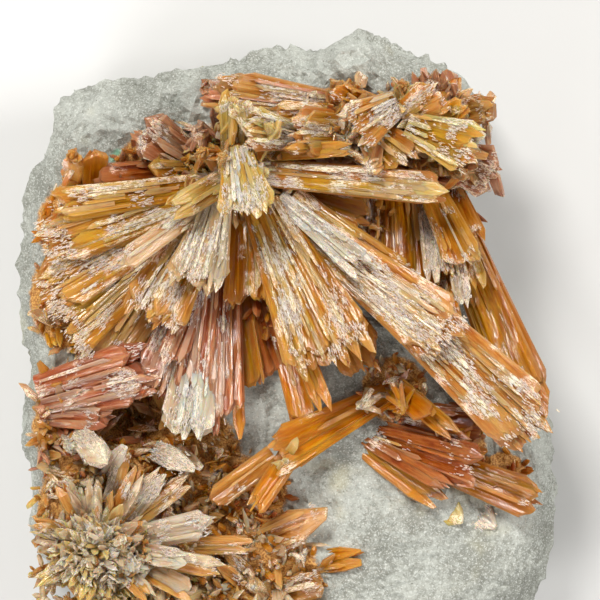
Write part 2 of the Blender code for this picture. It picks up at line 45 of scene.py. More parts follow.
# The specimen's middle in the tables' coordinates, which are millimetres as it is seen from above
MIDDLE_X = -0.95
MIDDLE_Y = -4.23
PHOTO_WIDTH = 60.0

# A sheaf of parallel or spreading crystals. root and tip are the middles of its ends, spread its width at
# each, and thick its depth. count and layers are how many crystals it has across and deep, steps how many
# short ones lie on its upper face, and stagger how unevenly they end. look names some of LOOKS, which its
# crystals take by chance. frost is how white they are etched, and roll turns them about their axis.
Sheaf = namedtuple(
    "Sheaf",
    "root tip spread thick count layers look frost steps stagger roll",
    defaults=(1, 1, "honey", 0.3, 0, 1.0, 0),
)

# Deep and pale colours of each kind of crystal
LOOKS = {
    "honey": ((0.58, 0.20, 0.006), (0.84, 0.42, 0.05)),
    "peach": ((0.60, 0.20, 0.018), (0.86, 0.44, 0.10)),
    "golden": ((0.60, 0.21, 0.003), (0.85, 0.42, 0.025)),
    "yellow": ((0.80, 0.42, 0.035), (0.93, 0.67, 0.24)),
    "orange": ((0.66, 0.19, 0.002), (0.86, 0.37, 0.01)),
    "amber": ((0.48, 0.14, 0.002), (0.74, 0.30, 0.006)),
    "red": ((0.50, 0.12, 0.04), (0.76, 0.32, 0.15)),
    "smooth_red": ((0.62, 0.15, 0.03), (0.78, 0.27, 0.07)),
    "garnet": ((0.40, 0.075, 0.005), (0.66, 0.21, 0.035)),
    "purple": ((0.48, 0.16, 0.06), (0.70, 0.35, 0.18)),
    "brown": ((0.50, 0.19, 0.018), (0.76, 0.40, 0.10)),
    "pale": ((0.72, 0.43, 0.19), (0.90, 0.69, 0.47)),
    "white": ((0.80, 0.57, 0.36), (0.94, 0.82, 0.67)),
}

SPRAYS = {
    "centre_spray": [
        ((-3.8, 9.5, 15), (3.9, -6.8, 22), (3.4, 8.6), 2, 12, 2, "honey", 0.55, 34, 1.6),
        ((-3.2, 4, 16.4), (2.5, -11, 20), (1.6, 1.8), 1.3, 2, 1, "orange", 0.15, 2, 0.8),
        ((-1, 10, 15), (24.3, -14, 21), (3, 6.4), 2.2, 8, 2, "peach", 0.6, 46, 1.8),
        ((-2, 10.3, 15.2), (6.5, 3.1, 21.5), (1.4, 2.8), 1, 4, 1, "white", 0.9, 8, 1.2),
        ((-5.4, 10, 13.4), (-5.2, -1.5, 15.8), (2.6, 4.6), 1.8, 6, 1, "golden amber", 0.25, 8, 2),
        ((-6.4, 15, 20), (-5.1, 8.6, 24.9), (2.8, 5), 1.2, 3, 1, "yellow", 0.75, 4, 0.6),
        ((-6.4, 15, 20.4), (-5, 8, 25.4), (2.2, 5.8), 1.6, 12, 1, "yellow yellow white", 0.6, 10, 1.6),
        ((-6.9, 14, 16.6), (-6.4, 20.4, 22.8), (1.8, 3), 1.5, 6, 1, "yellow", 0.55, 4, 0.8),
        ((-0.8, 16.4, 18.4), (-5.8, 17.2, 22.2), (2.4, 4.2), 1.4, 9, 1, "yellow peach", 0.7, 8, 1.4),
        ((-0.8, 10.6, 14.8), (12, 1.2, 18.6), (1.8, 2.8), 1.6, 4, 1, "golden", 0.3, 6, 1.5),
        ((0.5, 7, 16), (15.6, -4.4, 22.2), (3, 5.8), 1.8, 7, 2, "peach", 0.65, 30, 1.6),
        ((-4.6, 11.4, 13.8), (7.4, -7.8, 16), (2.4, 4.6), 1.8, 5, 1, "amber", 0.1, 4, 1.5),
        ((-3, 11.5, 13.6), (7.6, 7.6, 15.4), (2, 4), 1.6, 5, 1, "amber", 0.1, 0, 1.5),
        ((-9.4, 9.6, 17), (-18, 3.5, 21.2), (1.6, 2.2), 1.2, 3, 1, "pale", 0.6, 5, 0.8),
        ((-8.3, 9.8, 16.4), (-10.6, 1, 21.8), (2.6, 5.6), 1.8, 8, 2, "pale", 0.6, 18, 1),
        ((-9.5, 8.5, 15.4), (-15.3, -2.4, 19.2), (3, 6.2), 1.8, 8, 2, "honey", 0.6, 18, 1),
        ((-7, 12, 15), (-25.6, 9.3, 18.4), (2, 3.4), 1.6, 5, 1, "golden", 0.6, 10, 2),
        ((-8.5, 11.2, 14.8), (-26.4, 5.4, 17.6), (2.5, 4.6), 1.8, 6, 2, "golden honey", 0.6, 12, 2.4),
        ((-9, 10.2, 14.4), (-26.4, 0.4, 16.4), (2.5, 5), 1.8, 7, 2, "golden honey", 0.6, 14, 2),
        ((-10, 8.6, 14), (-24.4, -3.6, 15.8), (3, 5.8), 1.8, 7, 1, "golden honey", 0.65, 14, 2),
        ((-9.4, 9.4, 13.4), (-20.6, -7, 14.6), (2.8, 5), 1.8, 6, 1, "brown", 0.5, 6, 2),
        ((-6.6, 12.4, 11.2), (-5.9, 11.2, 23.6), (4.6, 4.8), 4.4, 4, 4, "yellow white", 0.65, 0, 2.6, 20),
        ((-5.4, 12.8, 11.2), (-3.9, 12.6, 23.6), (2.8, 2.8), 2.8, 2, 2, "yellow white", 0.6, 0, 2, 50),
        ((-6.8, 12.8, 11.4), (-6.3, 19.9, 24), (2.4, 2.6), 1.8, 3, 2, "yellow", 0.45, 2, 1.4, 10),
        ((-7.4, 13.2, 11.4), (-10, 15, 22), (2.2, 2.2), 1.6, 2, 2, "golden", 0.3, 0, 1.2, 30),
        ((-7, 12.4, 16.4), (-12.6, 8.9, 23), (2.2, 2.4), 1.8, 2, 2, "yellow", 0.3, 2, 1, -15),
        ((-6, 14, 12.4), (-2, 17.6, 23.4), (2.6, 2.6), 2.2, 3, 2, "yellow", 0.45, 2, 1.2),
        ((-7.2, 13.2, 15.6), (-7.8, 14.3, 24.4), (2, 2), 1.8, 2, 2, "golden", 0.3, 0, 1.2, 15),
        ((-4.5, 12.9, 15), (14.6, 10.9, 22.3), (2.4, 2.8), 1.9, 5, 2, "peach golden peach", 0.65, 14, 1.6),
        ((7, 11.8, 19.6), (14.7, 10.7, 23), (1.2, 1.9), 1.4, 1, 1, "yellow", 0.2),
        ((-5, 14.6, 15), (5, 15.1, 20.8), (1.4, 1.4), 1.3, 2, 1, "golden", 0.3, 2, 0.6),
    ],
    "corner_spray": [
        ((11, 17.4, 19.8), (17.2, 14.8, 24.1), (2.6, 4.6), 1.1, 3, 1, "yellow", 0.6, 4, 0.6),
        ((10.8, 17.4, 20.2), (17.6, 14.6, 24.6), (2.4, 5.2), 1.4, 12, 1, "yellow yellow golden", 0.5, 8, 1.6),
        ((10.4, 18.2, 19.4), (14.4, 20.6, 22.8), (2.2, 3.8), 1.3, 7, 1, "peach golden", 0.5, 6, 1),
        ((12.8, 17.8, 19.4), (16.6, 19.4, 22.2), (1.4, 2.2), 1.1, 4, 1, "golden", 0.15, 1, 0.6),
        ((13, 16.6, 12.6), (14.5, 15.4, 22.8), (5.6, 5.6), 4.2, 4, 3, "yellow", 0.75, 0, 2.2, 12),
        ((12.2, 17.8, 12.6), (12.2, 19.8, 22), (4.4, 4.4), 3, 3, 3, "yellow", 0.7, 0, 2, -8),
        ((13.8, 17.8, 12.8), (15.6, 19.2, 23), (2.6, 2.6), 1.9, 2, 2, "golden", 0.2, 0, 1.2, 30),
        ((11.4, 18.2, 12.8), (10, 22.2, 20.8), (1.9, 1.9), 1.7, 2, 1, "orange", 0.2, 0, 0.8),
        ((14.2, 18.2, 12.8), (19.7, 19.6, 19), (2.8, 2.8), 2.2, 3, 2, "brown", 0.4, 2, 1),
        ((13, 18.6, 12.6), (11.8, 22.8, 17.6), (1.7, 1.7), 1.4, 2, 1, "purple", 0.3, 0, 0.6),
        ((13.4, 18.6, 12.6), (14, 23, 17.8), (1.7, 1.7), 1.4, 2, 1, "purple", 0.3, 0, 0.6),
        ((13.9, 18.4, 12.6), (15.7, 21.9, 18.2), (1.8, 1.8), 1.4, 2, 1, "purple", 0.3, 0, 0.6),
        ((14.2, 16.4, 13.6), (18.5, 15.6, 19.4), (1.2, 3), 0.9, 7, 1, "white", 0.7, 0, 1.4),
        ((13.6, 14.8, 12.4), (19.8, 12.4, 17.4), (2.4, 4.6), 1.6, 7, 1, "purple", 0.5, 4, 0.6),
        ((13.4, 15.2, 13.6), (16.6, 11.9, 21.8), (2.6, 2.6), 1.8, 3, 2, "peach", 0.4, 0, 1, 20),
        ((12.2, 15.6, 13.4), (14.6, 12.2, 20.4), (2.4, 2.4), 1.8, 2, 2, "golden", 0.2, 0, 1),
    ],
    "upper_bars": [
        ((6.4, 17.2, 18.2), (10.8, 13.2, 21.8), (2.8, 4.8), 1.4, 9, 1, "golden honey peach", 0.5, 6, 1.2),
        ((9.6, 19.6, 19.2), (5.2, 16.8, 23.5), (2.6, 4.6), 1.1, 3, 1, "peach", 0.75, 4, 0.6),
        ((9.6, 19.6, 19.6), (5, 16.6, 24), (2.2, 4.8), 1.3, 10, 1, "peach pale", 0.7, 6, 1.2),
        ((5.6, 18, 15.4), (-3.4, 17.6, 18.8), (2.6, 3.8), 1.6, 5, 1, "peach golden", 0.6, 8, 1.4),
        ((9.4, 18.6, 13.2), (-9.6, 21.2, 19), (1.8, 3.8), 2, 6, 2, "brown red", 0.45, 12, 1.8),
        ((8.4, 17.8, 13.2), (-5.6, 19.4, 17.4), (1.4, 1.6), 1.5, 2, 1, "orange", 0.2, 2, 1),
        ((8.6, 17, 13.6), (-1.6, 16.6, 21.4), (2.4, 4.4), 1.8, 6, 2, "peach honey", 0.55, 12, 1.6),
        ((9.6, 19, 13.4), (2.6, 21.3, 18.6), (1.6, 2), 1.5, 3, 1, "orange", 0.35, 3, 0.8),
        ((8.6, 17.4, 13), (6.9, 17.9, 22.6), (4, 4.2), 3.2, 3, 3, "white peach", 0.75, 0, 2, 35),
        ((8.6, 16.2, 13.4), (6.9, 12.6, 23.8), (3.4, 3.4), 2.4, 3, 2, "pale peach", 0.7, 0, 1.6, 10),
    ],
    "right_blades": [
        ((20.2, -9.4, 9.6), (21.7, -5.8, 13.4), (2, 2.6), 1.9, 1, 1, "white", 0.35),
        ((19.8, -7.6, 9.8), (20.4, -5, 13), (1.6, 1.8), 1.4, 1, 1, "white", 0.3),
        ((11.4, 13, 12), (13.2, -2, 15.6), (5, 7.6), 2.4, 10, 2, "amber", 0.15, 10, 2),
        ((9.4, 12.6, 12), (9.4, -1, 14.2), (4, 4.8), 2, 6, 1, "amber", 0.1, 4, 1.5),
        ((12.8, 12, 13.2), (16.9, 2.9, 20.2), (2, 3.2), 1.3, 5, 1, "honey pale", 0.55, 5, 1),
        ((12.6, 10, 13), (13.3, 1.7, 18.6), (1.4, 1.5), 1.1, 2, 1, "pale", 0.45, 1, 0.5),
        ((13.4, 9, 13.2), (14.8, 2.4, 18.2), (1.2, 1.3), 1, 2, 1, "honey", 0.4, 1, 0.5),
        ((13.3, 6, 13), (15.2, -3.3, 17.8), (2.2, 2.4), 1.2, 3, 1, "honey", 0.5, 4, 0.8),
        ((15.2, 6.6, 14), (16.4, -0.6, 19.8), (1.5, 1.6), 1.2, 2, 1, "pale", 0.5, 1, 0.5),
        ((14.6, 10, 11.6), (23.4, -11.5, 17.2), (2.8, 4.6), 2.2, 6, 2, "amber", 0.15, 8, 1.8),
        ((15, 10.4, 12), (18.1, 1.2, 17.8), (1.5, 1.6), 1.5, 2, 1, "golden", 0.25, 1, 0.6),
        ((14.4, 12.6, 12), (17.2, 5.8, 17.4), (2.2, 2.8), 1.8, 4, 1, "honey", 0.35, 2, 1),
    ],
    "red_spray": [
        ((-8.6, 4.6, 12.4), (-10.2, -13.4, 17.4), (3.2, 6.4), 2.5, 9, 2, "red", 0.5, 26, 2.4),
        ((-9.6, 4, 12), (-15, -10.4, 16), (2.6, 5), 2, 6, 2, "red", 0.45, 12, 1.8),
        ((-6.2, 4, 11.8), (-2.4, -8.6, 13.4), (2.6, 4), 1.6, 5, 1, "garnet", 0.1, 2, 1.5),
        ((-7.2, 4.4, 12.4), (-7.1, -11.8, 17.4), (2.2, 2.9), 1.9, 4, 1, "smooth_red", 0.08, 4, 1.8),
        ((-7, 3.4, 12.2), (-6, -14, 15.4), (1.2, 1.3), 1.2, 1, 1, "orange", 0.1, 0, 0.4),
        ((-6.8, 3.8, 12.2), (-4.4, -9.4, 14.4), (2.2, 2.2), 1.4, 3, 1, "orange", 0.1, 1, 1),
        ((-9.8, -2, 12.2), (-11.6, -13.8, 19.4), (2.6, 4.2), 2.4, 5, 2, "white", 0.75, 12, 0.8),
        ((-9.6, 3, 12.8), (-13.2, -6.8, 18.2), (1.8, 2.8), 1.6, 4, 1, "red", 0.6, 6, 1),
    ],
    "orange_blades": [
        ((9.8, -9, 12.4), (-3.4, -16, 16.8), (2, 4.4), 1.8, 6, 1, "orange", 0.08, 2, 2),
        ((0.4, -13.4, 13.4), (-5.3, -22, 18.2), (2.2, 2), 1.6, 3, 1, "orange", 0.1, 2, 2),
        ((-1.8, -16.4, 14.4), (-0.2, -13.9, 18), (1, 1), 0.9, 1, 1, "yellow", 0.1),
        ((-2.6, -17.4, 14.4), (-0.9, -15.6, 18), (1, 1), 0.9, 1, 1, "yellow", 0.1),
        ((-2.4, -2.4, 12), (0.6, -12.8, 15.4), (1.8, 2.4), 1.4, 3, 1, "orange", 0.1, 2, 1),
        ((-2.6, -15.6, 15.4), (-9.4, -20.6, 15.6), (2.2, 2.2), 1.5, 3, 1, "brown", 0.3, 2, 1.4),
        ((9.4, -8.8, 12.6), (13.2, -12, 17.6), (2, 2.2), 1.2, 3, 1, "orange", 0.1, 1, 0.8),
        ((9.8, -8.6, 12.6), (10.5, -11.6, 17.6), (1.4, 1.4), 1.2, 2, 1, "orange", 0.1, 0, 0.5),
        ((9.6, -8.6, 12.6), (15.6, -13.6, 16.6), (1.8, 1.8), 1.2, 2, 1, "amber", 0.1, 1, 0.8),
        ((8, -9.6, 13), (5.3, -10.9, 17.4), (2.2, 2.2), 1.3, 2, 1, "pale", 0.4, 0, 0.5),
    ],
    "left_red_blades": [
        ((-26, -9.8, 11.6), (-14.4, -6.6, 16.6), (4, 5.6), 2.8, 8, 2, "red", 0.55, 20, 1.6),
        ((-26, -11.4, 11.4), (-18.8, -11.4, 14.8), (2.4, 3.2), 2, 5, 2, "red", 0.4, 6, 1),
    ],
    "dark_red_prisms": [
        ((5, -14, 10.8), (14.2, -20.6, 14.6), (1.6, 2.6), 1.8, 2, 1, "garnet amber", 0.12, 1, 1.2),
        ((5.8, -13.6, 11), (15, -18.9, 16.4), (1.5, 1.6), 1.5, 2, 1, "garnet", 0.12, 1, 0.8),
        ((7.2, -13.6, 11.2), (18.6, -17.2, 17.2), (2, 4), 1.8, 5, 1, "garnet garnet golden", 0.32, 4, 1.6),
        ((9, -14.6, 11), (24.6, -20.4, 15.4), (2, 3.6), 2, 5, 1, "amber", 0.3, 6, 1.6),
        ((8.6, -12.6, 11.2), (17, -15, 15.4), (2.2, 2.4), 1.4, 3, 1, "garnet", 0.12, 2, 1),
        ((8.2, -11.6, 11), (19.6, -12.4, 13.6), (2.6, 3.6), 1.6, 4, 1, "garnet", 0.2, 3, 1.2),
    ],
    "pale_spray": [
        ((-20, -24.2, 11), (-16, -17, 17.2), (1.6, 1.8), 1.5, 2, 1, "pale peach", 0.5, 1, 0.6),
        ((-20.6, -24, 11), (-20.8, -18, 16.8), (1.4, 1.5), 1.3, 2, 1, "pale peach", 0.5, 0, 0.6),
        ((-19.6, -24.2, 11), (-13.7, -17.2, 15.6), (1.8, 2), 1.5, 2, 1, "pale peach", 0.5, 1, 0.8),
        ((-19.4, -24.4, 11.2), (-11.2, -18.2, 15.8), (1.4, 1.5), 1.3, 2, 1, "brown", 0.4, 1, 0.6),
        ((-19, -24.6, 11.2), (-8.6, -22.2, 17), (2.2, 2.8), 1.6, 4, 1, "white", 0.5, 2, 1),
        ((-18.6, -24.8, 11.2), (-4.8, -24.6, 15.4), (1.6, 1.8), 1.4, 2, 1, "peach", 0.4, 1, 0.8),
        ((-19, -25, 11.2), (-11.4, -26, 17), (1.8, 1.9), 1.5, 2, 1, "white", 0.5, 1, 0.8),
        ((-19, -25.2, 11), (-7.6, -27, 15.8), (1.8, 1.9), 1.5, 2, 1, "pale peach", 0.45, 1, 0.8),
        ((-19.4, -25.4, 11), (-10.6, -29.4, 15.8), (2, 2.1), 1.6, 3, 1, "pale peach", 0.45, 1, 0.8),
        ((-19.8, -25.6, 11), (-14.8, -30, 16.6), (1.6, 1.7), 1.5, 2, 1, "pale peach", 0.45, 1, 0.8),
        ((-20.6, -25.6, 11), (-21.8, -30.4, 16.4), (1.6, 1.7), 1.5, 2, 1, "yellow", 0.4, 1, 0.8),
        ((-20.2, -24.2, 11), (-17.6, -14.9, 14.8), (1.5, 1.6), 1.3, 2, 1, "pale peach", 0.5, 0, 0.6),
        ((-21, -24.2, 11), (-24, -18.6, 15.6), (1.5, 1.6), 1.4, 2, 1, "pale peach", 0.5, 0, 0.6),
        ((-21.2, -24.6, 11), (-27, -22.4, 14.6), (1.6, 1.7), 1.4, 2, 1, "pale peach", 0.5, 0, 0.6),
        ((-21, -25.2, 11), (-26.4, -28.4, 14.6), (1.6, 1.7), 1.4, 2, 1, "yellow", 0.4, 0, 0.6),
        ((-20, -25.6, 11), (-17.4, -33.4, 14.2), (1.8, 1.9), 1.5, 2, 1, "yellow", 0.4, 0, 0.6),
        ((-20.4, -24.4, 10.8), (-20.8, -23.2, 18.8), (2.8, 2.8), 2.6, 3, 2, "white", 0.6, 0, 1.4, 15),
        ((-19.6, -24.6, 10.8), (-17.2, -24.2, 18.4), (2.6, 2.6), 2.4, 3, 2, "pale peach", 0.6, 0, 1.4, 40),
        ((-20.4, -25, 10.8), (-21.4, -26.8, 18.2), (2.6, 2.6), 2.4, 3, 2, "pale peach", 0.6, 0, 1.4, 70),
        ((-19.6, -25, 10.8), (-16, -27.2, 17.8), (2.4, 2.4), 2.2, 2, 2, "white", 0.6, 0, 1.4, 25),
    ],
    "upper_left_crystals": [
        ((-10.6, 13.8, 12.6), (-16.2, 17.2, 18.2), (2.6, 4.2), 2, 6, 2, "purple", 0.55, 6, 1.2),
        ((-10.8, 13.4, 12.8), (-15.4, 13.4, 17.2), (2.4, 2.6), 1.6, 3, 1, "golden", 0.3, 3, 0.8),
        ((-10.4, 14.6, 12.8), (-9.9, 18.2, 18.8), (2.2, 2.4), 1.8, 3, 1, "purple", 0.5, 1, 0.8),
        ((-11, 13.4, 12.6), (-21, 12.4, 15.2), (2, 2.2), 1.5, 3, 1, "garnet", 0.2, 2, 1),
    ],
    "left_edge_crystals": [
        ((-22.6, 11.4, 11), (-22.8, 15.4, 17.4), (2, 2.8), 1.6, 3, 1, "orange", 0.15, 0, 0.8, 0),
        ((-20.8, 10.6, 11), (-20.6, 15.2, 16.6), (2, 2.6), 1.6, 3, 1, "orange amber", 0.15, 0, 0.8, 0),
    ],
    "pointed_crystal": [
        ((-4.6, -24.8, 10.8), (2.7, -21.4, 15.6), (3.6, 3.8), 1.9, 1, 1, "peach", 0.3, 4, 0),
    ],
    "small_orange_crystal": [
        ((0.2, -26.8, 10.4), (6.2, -25.8, 13.8), (2.2, 2.4), 1.5, 2, 1, "orange", 0.2, 2, 0.4),
    ],
    "frosted_crystal_left": [
        ((-21.3, -15.4, 10), (-20.8, -15.1, 16.2), (3, 3), 3, 2, 2, "white", 0.4, 0, 1.2, 30),
        ((-22.4, -13.6, 12.8), (-19.3, -16.2, 18), (2.4, 3.2), 2.6, 1, 1, "white", 0.65),
        ((-19.6, -17.6, 12.2), (-17.6, -14.6, 16.6), (1.2, 1.9), 1.4, 1, 1, "white", 0.5),
        ((-22.6, -15, 10), (-23.4, -14.6, 16.8), (2, 2), 1.8, 2, 1, "white", 0.5, 0, 0.8),
    ],
    "frosted_crystal_middle": [
        ((-13.4, -15.6, 10.2), (-12.4, -16, 15.4), (3, 3), 2.2, 3, 1, "white", 0.4, 0, 0.8, 10),
        ((-14.4, -15.2, 13), (-10.6, -16.9, 17.2), (2, 2.8), 2, 1, 1, "white", 0.65),
        ((-12.8, -15, 10.6), (-9.9, -16.9, 14.8), (1.7, 1.8), 1.5, 1, 1, "pale", 0.5),
    ],
    "pale_crystal_near": [((13.9, -20.4, 10.2), (16.4, -22.2, 13.2), (2.2, 2.8), 1.9, 1, 1, "yellow", 0.3)],
    "pale_crystal_far": [((17.3, -20.8, 10.2), (19.7, -22.9, 13), (2.4, 3.1), 2, 1, 1, "white", 0.3)],
    "bottom_crystals": [
        ((-3.2, -30, 10), (2.6, -28.2, 14.2), (2.6, 2.8), 1.8, 3, 1, "brown", 0.4, 1, 0.8),
        ((-3.4, -30.2, 10), (-5.2, -27.8, 15), (2.4, 2.4), 1.8, 2, 1, "brown", 0.4, 1, 0.8),
        ((-3.2, -30.4, 10), (1.8, -33.4, 13.4), (2.4, 2.6), 1.8, 2, 1, "brown", 0.4, 1, 0.8),
        ((-3.6, -30.2, 10), (-8.4, -32.6, 13.8), (2.4, 2.4), 1.8, 2, 1, "pale", 0.4, 1, 0.8),
        ((-3.8, -29.6, 10), (-8.2, -25.8, 14), (2.4, 2.4), 1.6, 2, 1, "peach", 0.4, 1, 0.8),
    ],
}

# Cross-sections of small crystals and of slivers, as shares of half their width and thickness
SMALL_SECTION = np.array([(-1.0, 0.0), (-0.5, 1.0), (0.5, 1.0), (1.0, 0.0), (0.5, -1.0), (-0.5, -1.0)])
FLAKE_SECTION = np.array([(-1.0, 0.0), (0.1, 1.0), (1.0, 0.0), (-0.1, -1.0)])
SMALL_FLATNESS = 0.7
# How many places a square millimetre offers to flakes, which only stand where frost gathers
FLAKES_PER_MM2 = 15.0
# Sheaves with less frost than this carry no flakes
BARE = 0.3
# What a crystal's own frost adds to the patchiness of a spot, and the sum that flakes need
FROST_WEIGHT = 0.34
FLAKES_FROM = 0.72
# Sheaves that rise more steeply than this are stubs seen end-on, with leaning blades around a core
UPRIGHT = 0.8
GOLDEN_TURN = 2.39996
# How far up a core each of its rings lies, and how wide that ring is
CORE_RINGS = ((0.0, 0.6), (0.5, 0.9), (0.86, 1.0), (0.93, 0.94), (0.985, 0.78), (1.0, 0.5))
CORE_SIDES = 7
# Crystals that a clump of millimetre-wide ones has to a square millimetre
CLUMP_DENSITY = 3.4
# Millimetres from ridge to ridge and step to step of a lath, and between a blade's columns and rows
RIDGE_WIDTH, STEP_LENGTH = 0.2, 2.4
COLUMN_WIDTH, ROW_LENGTH = 0.24, 1.5
# What frost turns a crystal's colour towards
ETCHED = np.array((0.90, 0.74, 0.57))

# Crystals that stand out every way from one centre
Burst = namedtuple("Burst", "centre reach number look frost")
BURSTS = {
    "centre_spray": [
        ((-6.8, 11.8, 12.6), 6.5, 40, "golden honey amber", 0.2),
        ((-2, 10, 13), 5, 20, "golden honey", 0.2),
    ],
    "corner_spray": [((12.8, 17.4, 12.4), 7, 45, "yellow golden brown peach", 0.3)],
    "upper_bars": [((8.6, 17.6, 12.6), 5, 25, "peach golden brown", 0.3)],
    "right_blades": [((12.4, 11.8, 11.4), 5, 25, "amber brown golden", 0.1)],
    "red_spray": [
        ((-8.2, 3.6, 11.6), 5, 25, "smooth_red red amber", 0.1),
        ((-4.6, 4.6, 11.4), 6, 30, "garnet smooth_red amber", 0.1),
    ],
    "orange_blades": [((9.4, -9.2, 11.8), 3.6, 14, "garnet pale orange", 0.2)],
    "pale_spray": [
        ((-20.2, -24.6, 11), 8.5, 110, "pale pale yellow peach", 0.55),
        ((-20.4, -24.9, 12), 6.2, 110, "white pale yellow", 0.6),
        ((-14, -28, 11), 5, 40, "pale yellow brown", 0.4),
        ((-11, -23.5, 11), 5, 30, "pale brown peach", 0.4),
    ],
    "bottom_crystals": [((-3.4, -30, 10), 5, 30, "brown pale amber", 0.3)],
}

# Flat crystals that stand close together and fill the hubs of the sprays. top is the middle ones' height.
Clump = namedtuple("Clump", "x y radius top look frost broad", defaults=(2.0,))
CLUMPS = {
    "centre_spray": [
        (-5.5, 16.8, 3, 20, "yellow pale golden", 0.5),
        (-2.2, 15.8, 2.8, 19.5, "peach pale golden", 0.5),
        (-9.8, 15, 2.2, 18, "yellow golden", 0.4),
        (-10.8, 11.2, 2.6, 17.4, "golden yellow", 0.3),
        (-4.6, 10.2, 2.4, 17.4, "golden honey", 0.2),
    ],
    "corner_spray": [
        (11.4, 18.8, 3.2, 21.4, "peach golden yellow", 0.5),
        (14.6, 16.2, 3.4, 22, "yellow pale peach", 0.5),
        (13.6, 20.8, 2.6, 18.6, "purple peach red", 0.4),
        (17.6, 19, 1.8, 18, "brown peach", 0.4),
        (17, 12.9, 2.6, 18.6, "purple peach brown", 0.5),
        (10, 14.6, 2.8, 20.4, "golden orange peach", 0.1),
    ],
    "upper_bars": [
        (1, 18.8, 2.4, 18.6, "peach brown pale", 0.5),
        (4.6, 19.6, 2.6, 19.2, "orange peach", 0.4),
        (7.2, 16.4, 3.4, 21.4, "peach pale white", 0.6),
        (3.4, 16.4, 2.4, 20.4, "peach pale", 0.6),
        (-8.4, 20.4, 1.8, 17.6, "garnet purple", 0.2),
    ],
    "upper_left_crystals": [(-14, 15.8, 2.8, 17, "purple garnet", 0.5)],
    "pale_spray": [
        (-21, -25.4, 4.4, 17.8, "pale yellow white", 0.5, 1),
        (-17, -25.8, 3.4, 17, "pale white peach", 0.5, 1.1),
        (-19, -29.6, 3, 15.6, "pale yellow", 0.4, 1.1),
    ],
}


class Heap:
    """Crystals gathered into one mesh, with what their material needs to know about each point."""

    def __init__(self):
        self.points, self.quads, self.caps, self.traits = [], [], [], []
        self.size = 0

    def add(self, rings, local, edge, along, colours, frost, high=0.8):
        """Adds one crystal from its rings of points. high is 0 in its grooves and 1 on its ridges; the
        material paints the grooves darker and less frosted as painted shade.
        """
        count, sides = rings.shape[0] * rings.shape[1], rings.shape[1]
        last = count - sides + self.size
        deep, pale = colours
        self.points.append(rings.reshape(-1, 3))
        self.quads.append(ring_quads(rings.shape[0], sides) + self.size)
        self.caps.append(list(range(self.size, self.size + sides))[::-1])
        self.caps.append(list(range(last, last + sides)))
        self.traits.append(np.column_stack([
            local.reshape(-1, 3), edge.ravel(), along.ravel(), np.tile(deep, (count, 1)),
            np.tile(pale, (count, 1)), np.full(count, frost), (edge * 0 + high).ravel(),
        ]))
        self.size += count

    def grow(self, root, tip, roll, places, seed, edge, along, colours, frost, high=0.8):
        """Adds one crystal whose points lie across, out and along from its root as places say."""
        axis = (tip - root).normalized()
        across, out = frame_of(axis, roll)
        u, v, reach = places
        rings = np.array(root) + reach[..., None] * np.array(axis)
        rings = rings + u[..., None] * np.array(across) + v[..., None] * np.array(out)
        self.add(rings, np.stack(places, axis=-1) + seed, edge, along, colours, frost, high)

    def to_object(self, name, material):
        mesh = bpy.data.meshes.new(name)
        faces = np.vstack(self.quads).tolist() + self.caps
        points = np.vstack(self.points)
        mesh.from_pydata(to_frame(points).tolist(), [], faces)
        add_trait(mesh, "patch", "FLOAT", "value", [patchiness(Vector(point)) for point in points])
        traits = np.vstack(self.traits)
        alpha = np.ones((self.size, 1))
        add_trait(mesh, "crystal", "FLOAT_VECTOR", "vector", traits[:, 0:3])
        add_trait(mesh, "edge", "FLOAT", "value", traits[:, 3])
        add_trait(mesh, "along", "FLOAT", "value", traits[:, 4])
        add_trait(mesh, "deep", "FLOAT_COLOR", "color", np.hstack([traits[:, 5:8], alpha]))
        add_trait(mesh, "pale", "FLOAT_COLOR", "color", np.hstack([traits[:, 8:11], alpha]))
        add_trait(mesh, "frost", "FLOAT", "value", traits[:, 11])
        add_trait(mesh, "high", "FLOAT", "value", traits[:, 12])
        mesh.materials.append(material)
        mesh.validate()
        piece = bpy.data.objects.new(name, mesh)
        bpy.context.scene.collection.objects.link(piece)
        return piece


def add_trait(mesh, name, kind, field, values):
    layer = mesh.attributes.new(name, kind, "POINT")
    layer.data.foreach_set(field, np.asarray(values, dtype=np.float32).ravel())


def patchiness(spot):
    """How readily frost gathers at a point, about 0 to 1, in patches a few millimetres wide."""
    return 0.5 + 0.42 * (noise.noise(spot * 0.42) + 0.5 * noise.noise(spot * 1.3))


def to_frame(points):
    """Table millimetres to metres in the part's own frame."""
    return (np.asarray(points) - (MIDDLE_X, MIDDLE_Y, 0)) * MM


def ring_quads(rings, sides):
    """Faces between successive rings of points."""
    ring, side = np.meshgrid(np.arange(rings - 1), np.arange(sides), indexing="ij")
    after = (side + 1) % sides
    low, high = ring * sides, (ring + 1) * sides
    return np.stack([low + side, low + after, high + after, high + side], axis=-1).reshape(-1, 4)


def frame_of(axis, roll):
    """Unit vectors across and out of a crystal's broad face, turned about its axis by roll degrees."""
    up = Vector((0, 0, 1)) if abs(axis.z) < UPRIGHT else Vector((0, 1, 0))
    across = Matrix.Rotation(math.radians(roll), 3, axis) @ axis.cross(up).normalized()
    return across, across.cross(axis)


def roll_towards(axis, way):
    """The roll that turns a crystal's broad face towards a direction."""
    across, out = frame_of(axis, 0)
    return math.degrees(math.atan2(way.dot(across), way.dot(out)))


def lines_of(sheaf):
    """A sheaf's two ends, and unit vectors along it, across it and out of its upper face."""
    root, tip = Vector(sheaf.root), Vector(sheaf.tip)
    axis = (tip - root).normalized()
    return root, tip, axis, *frame_of(axis, sheaf.roll)


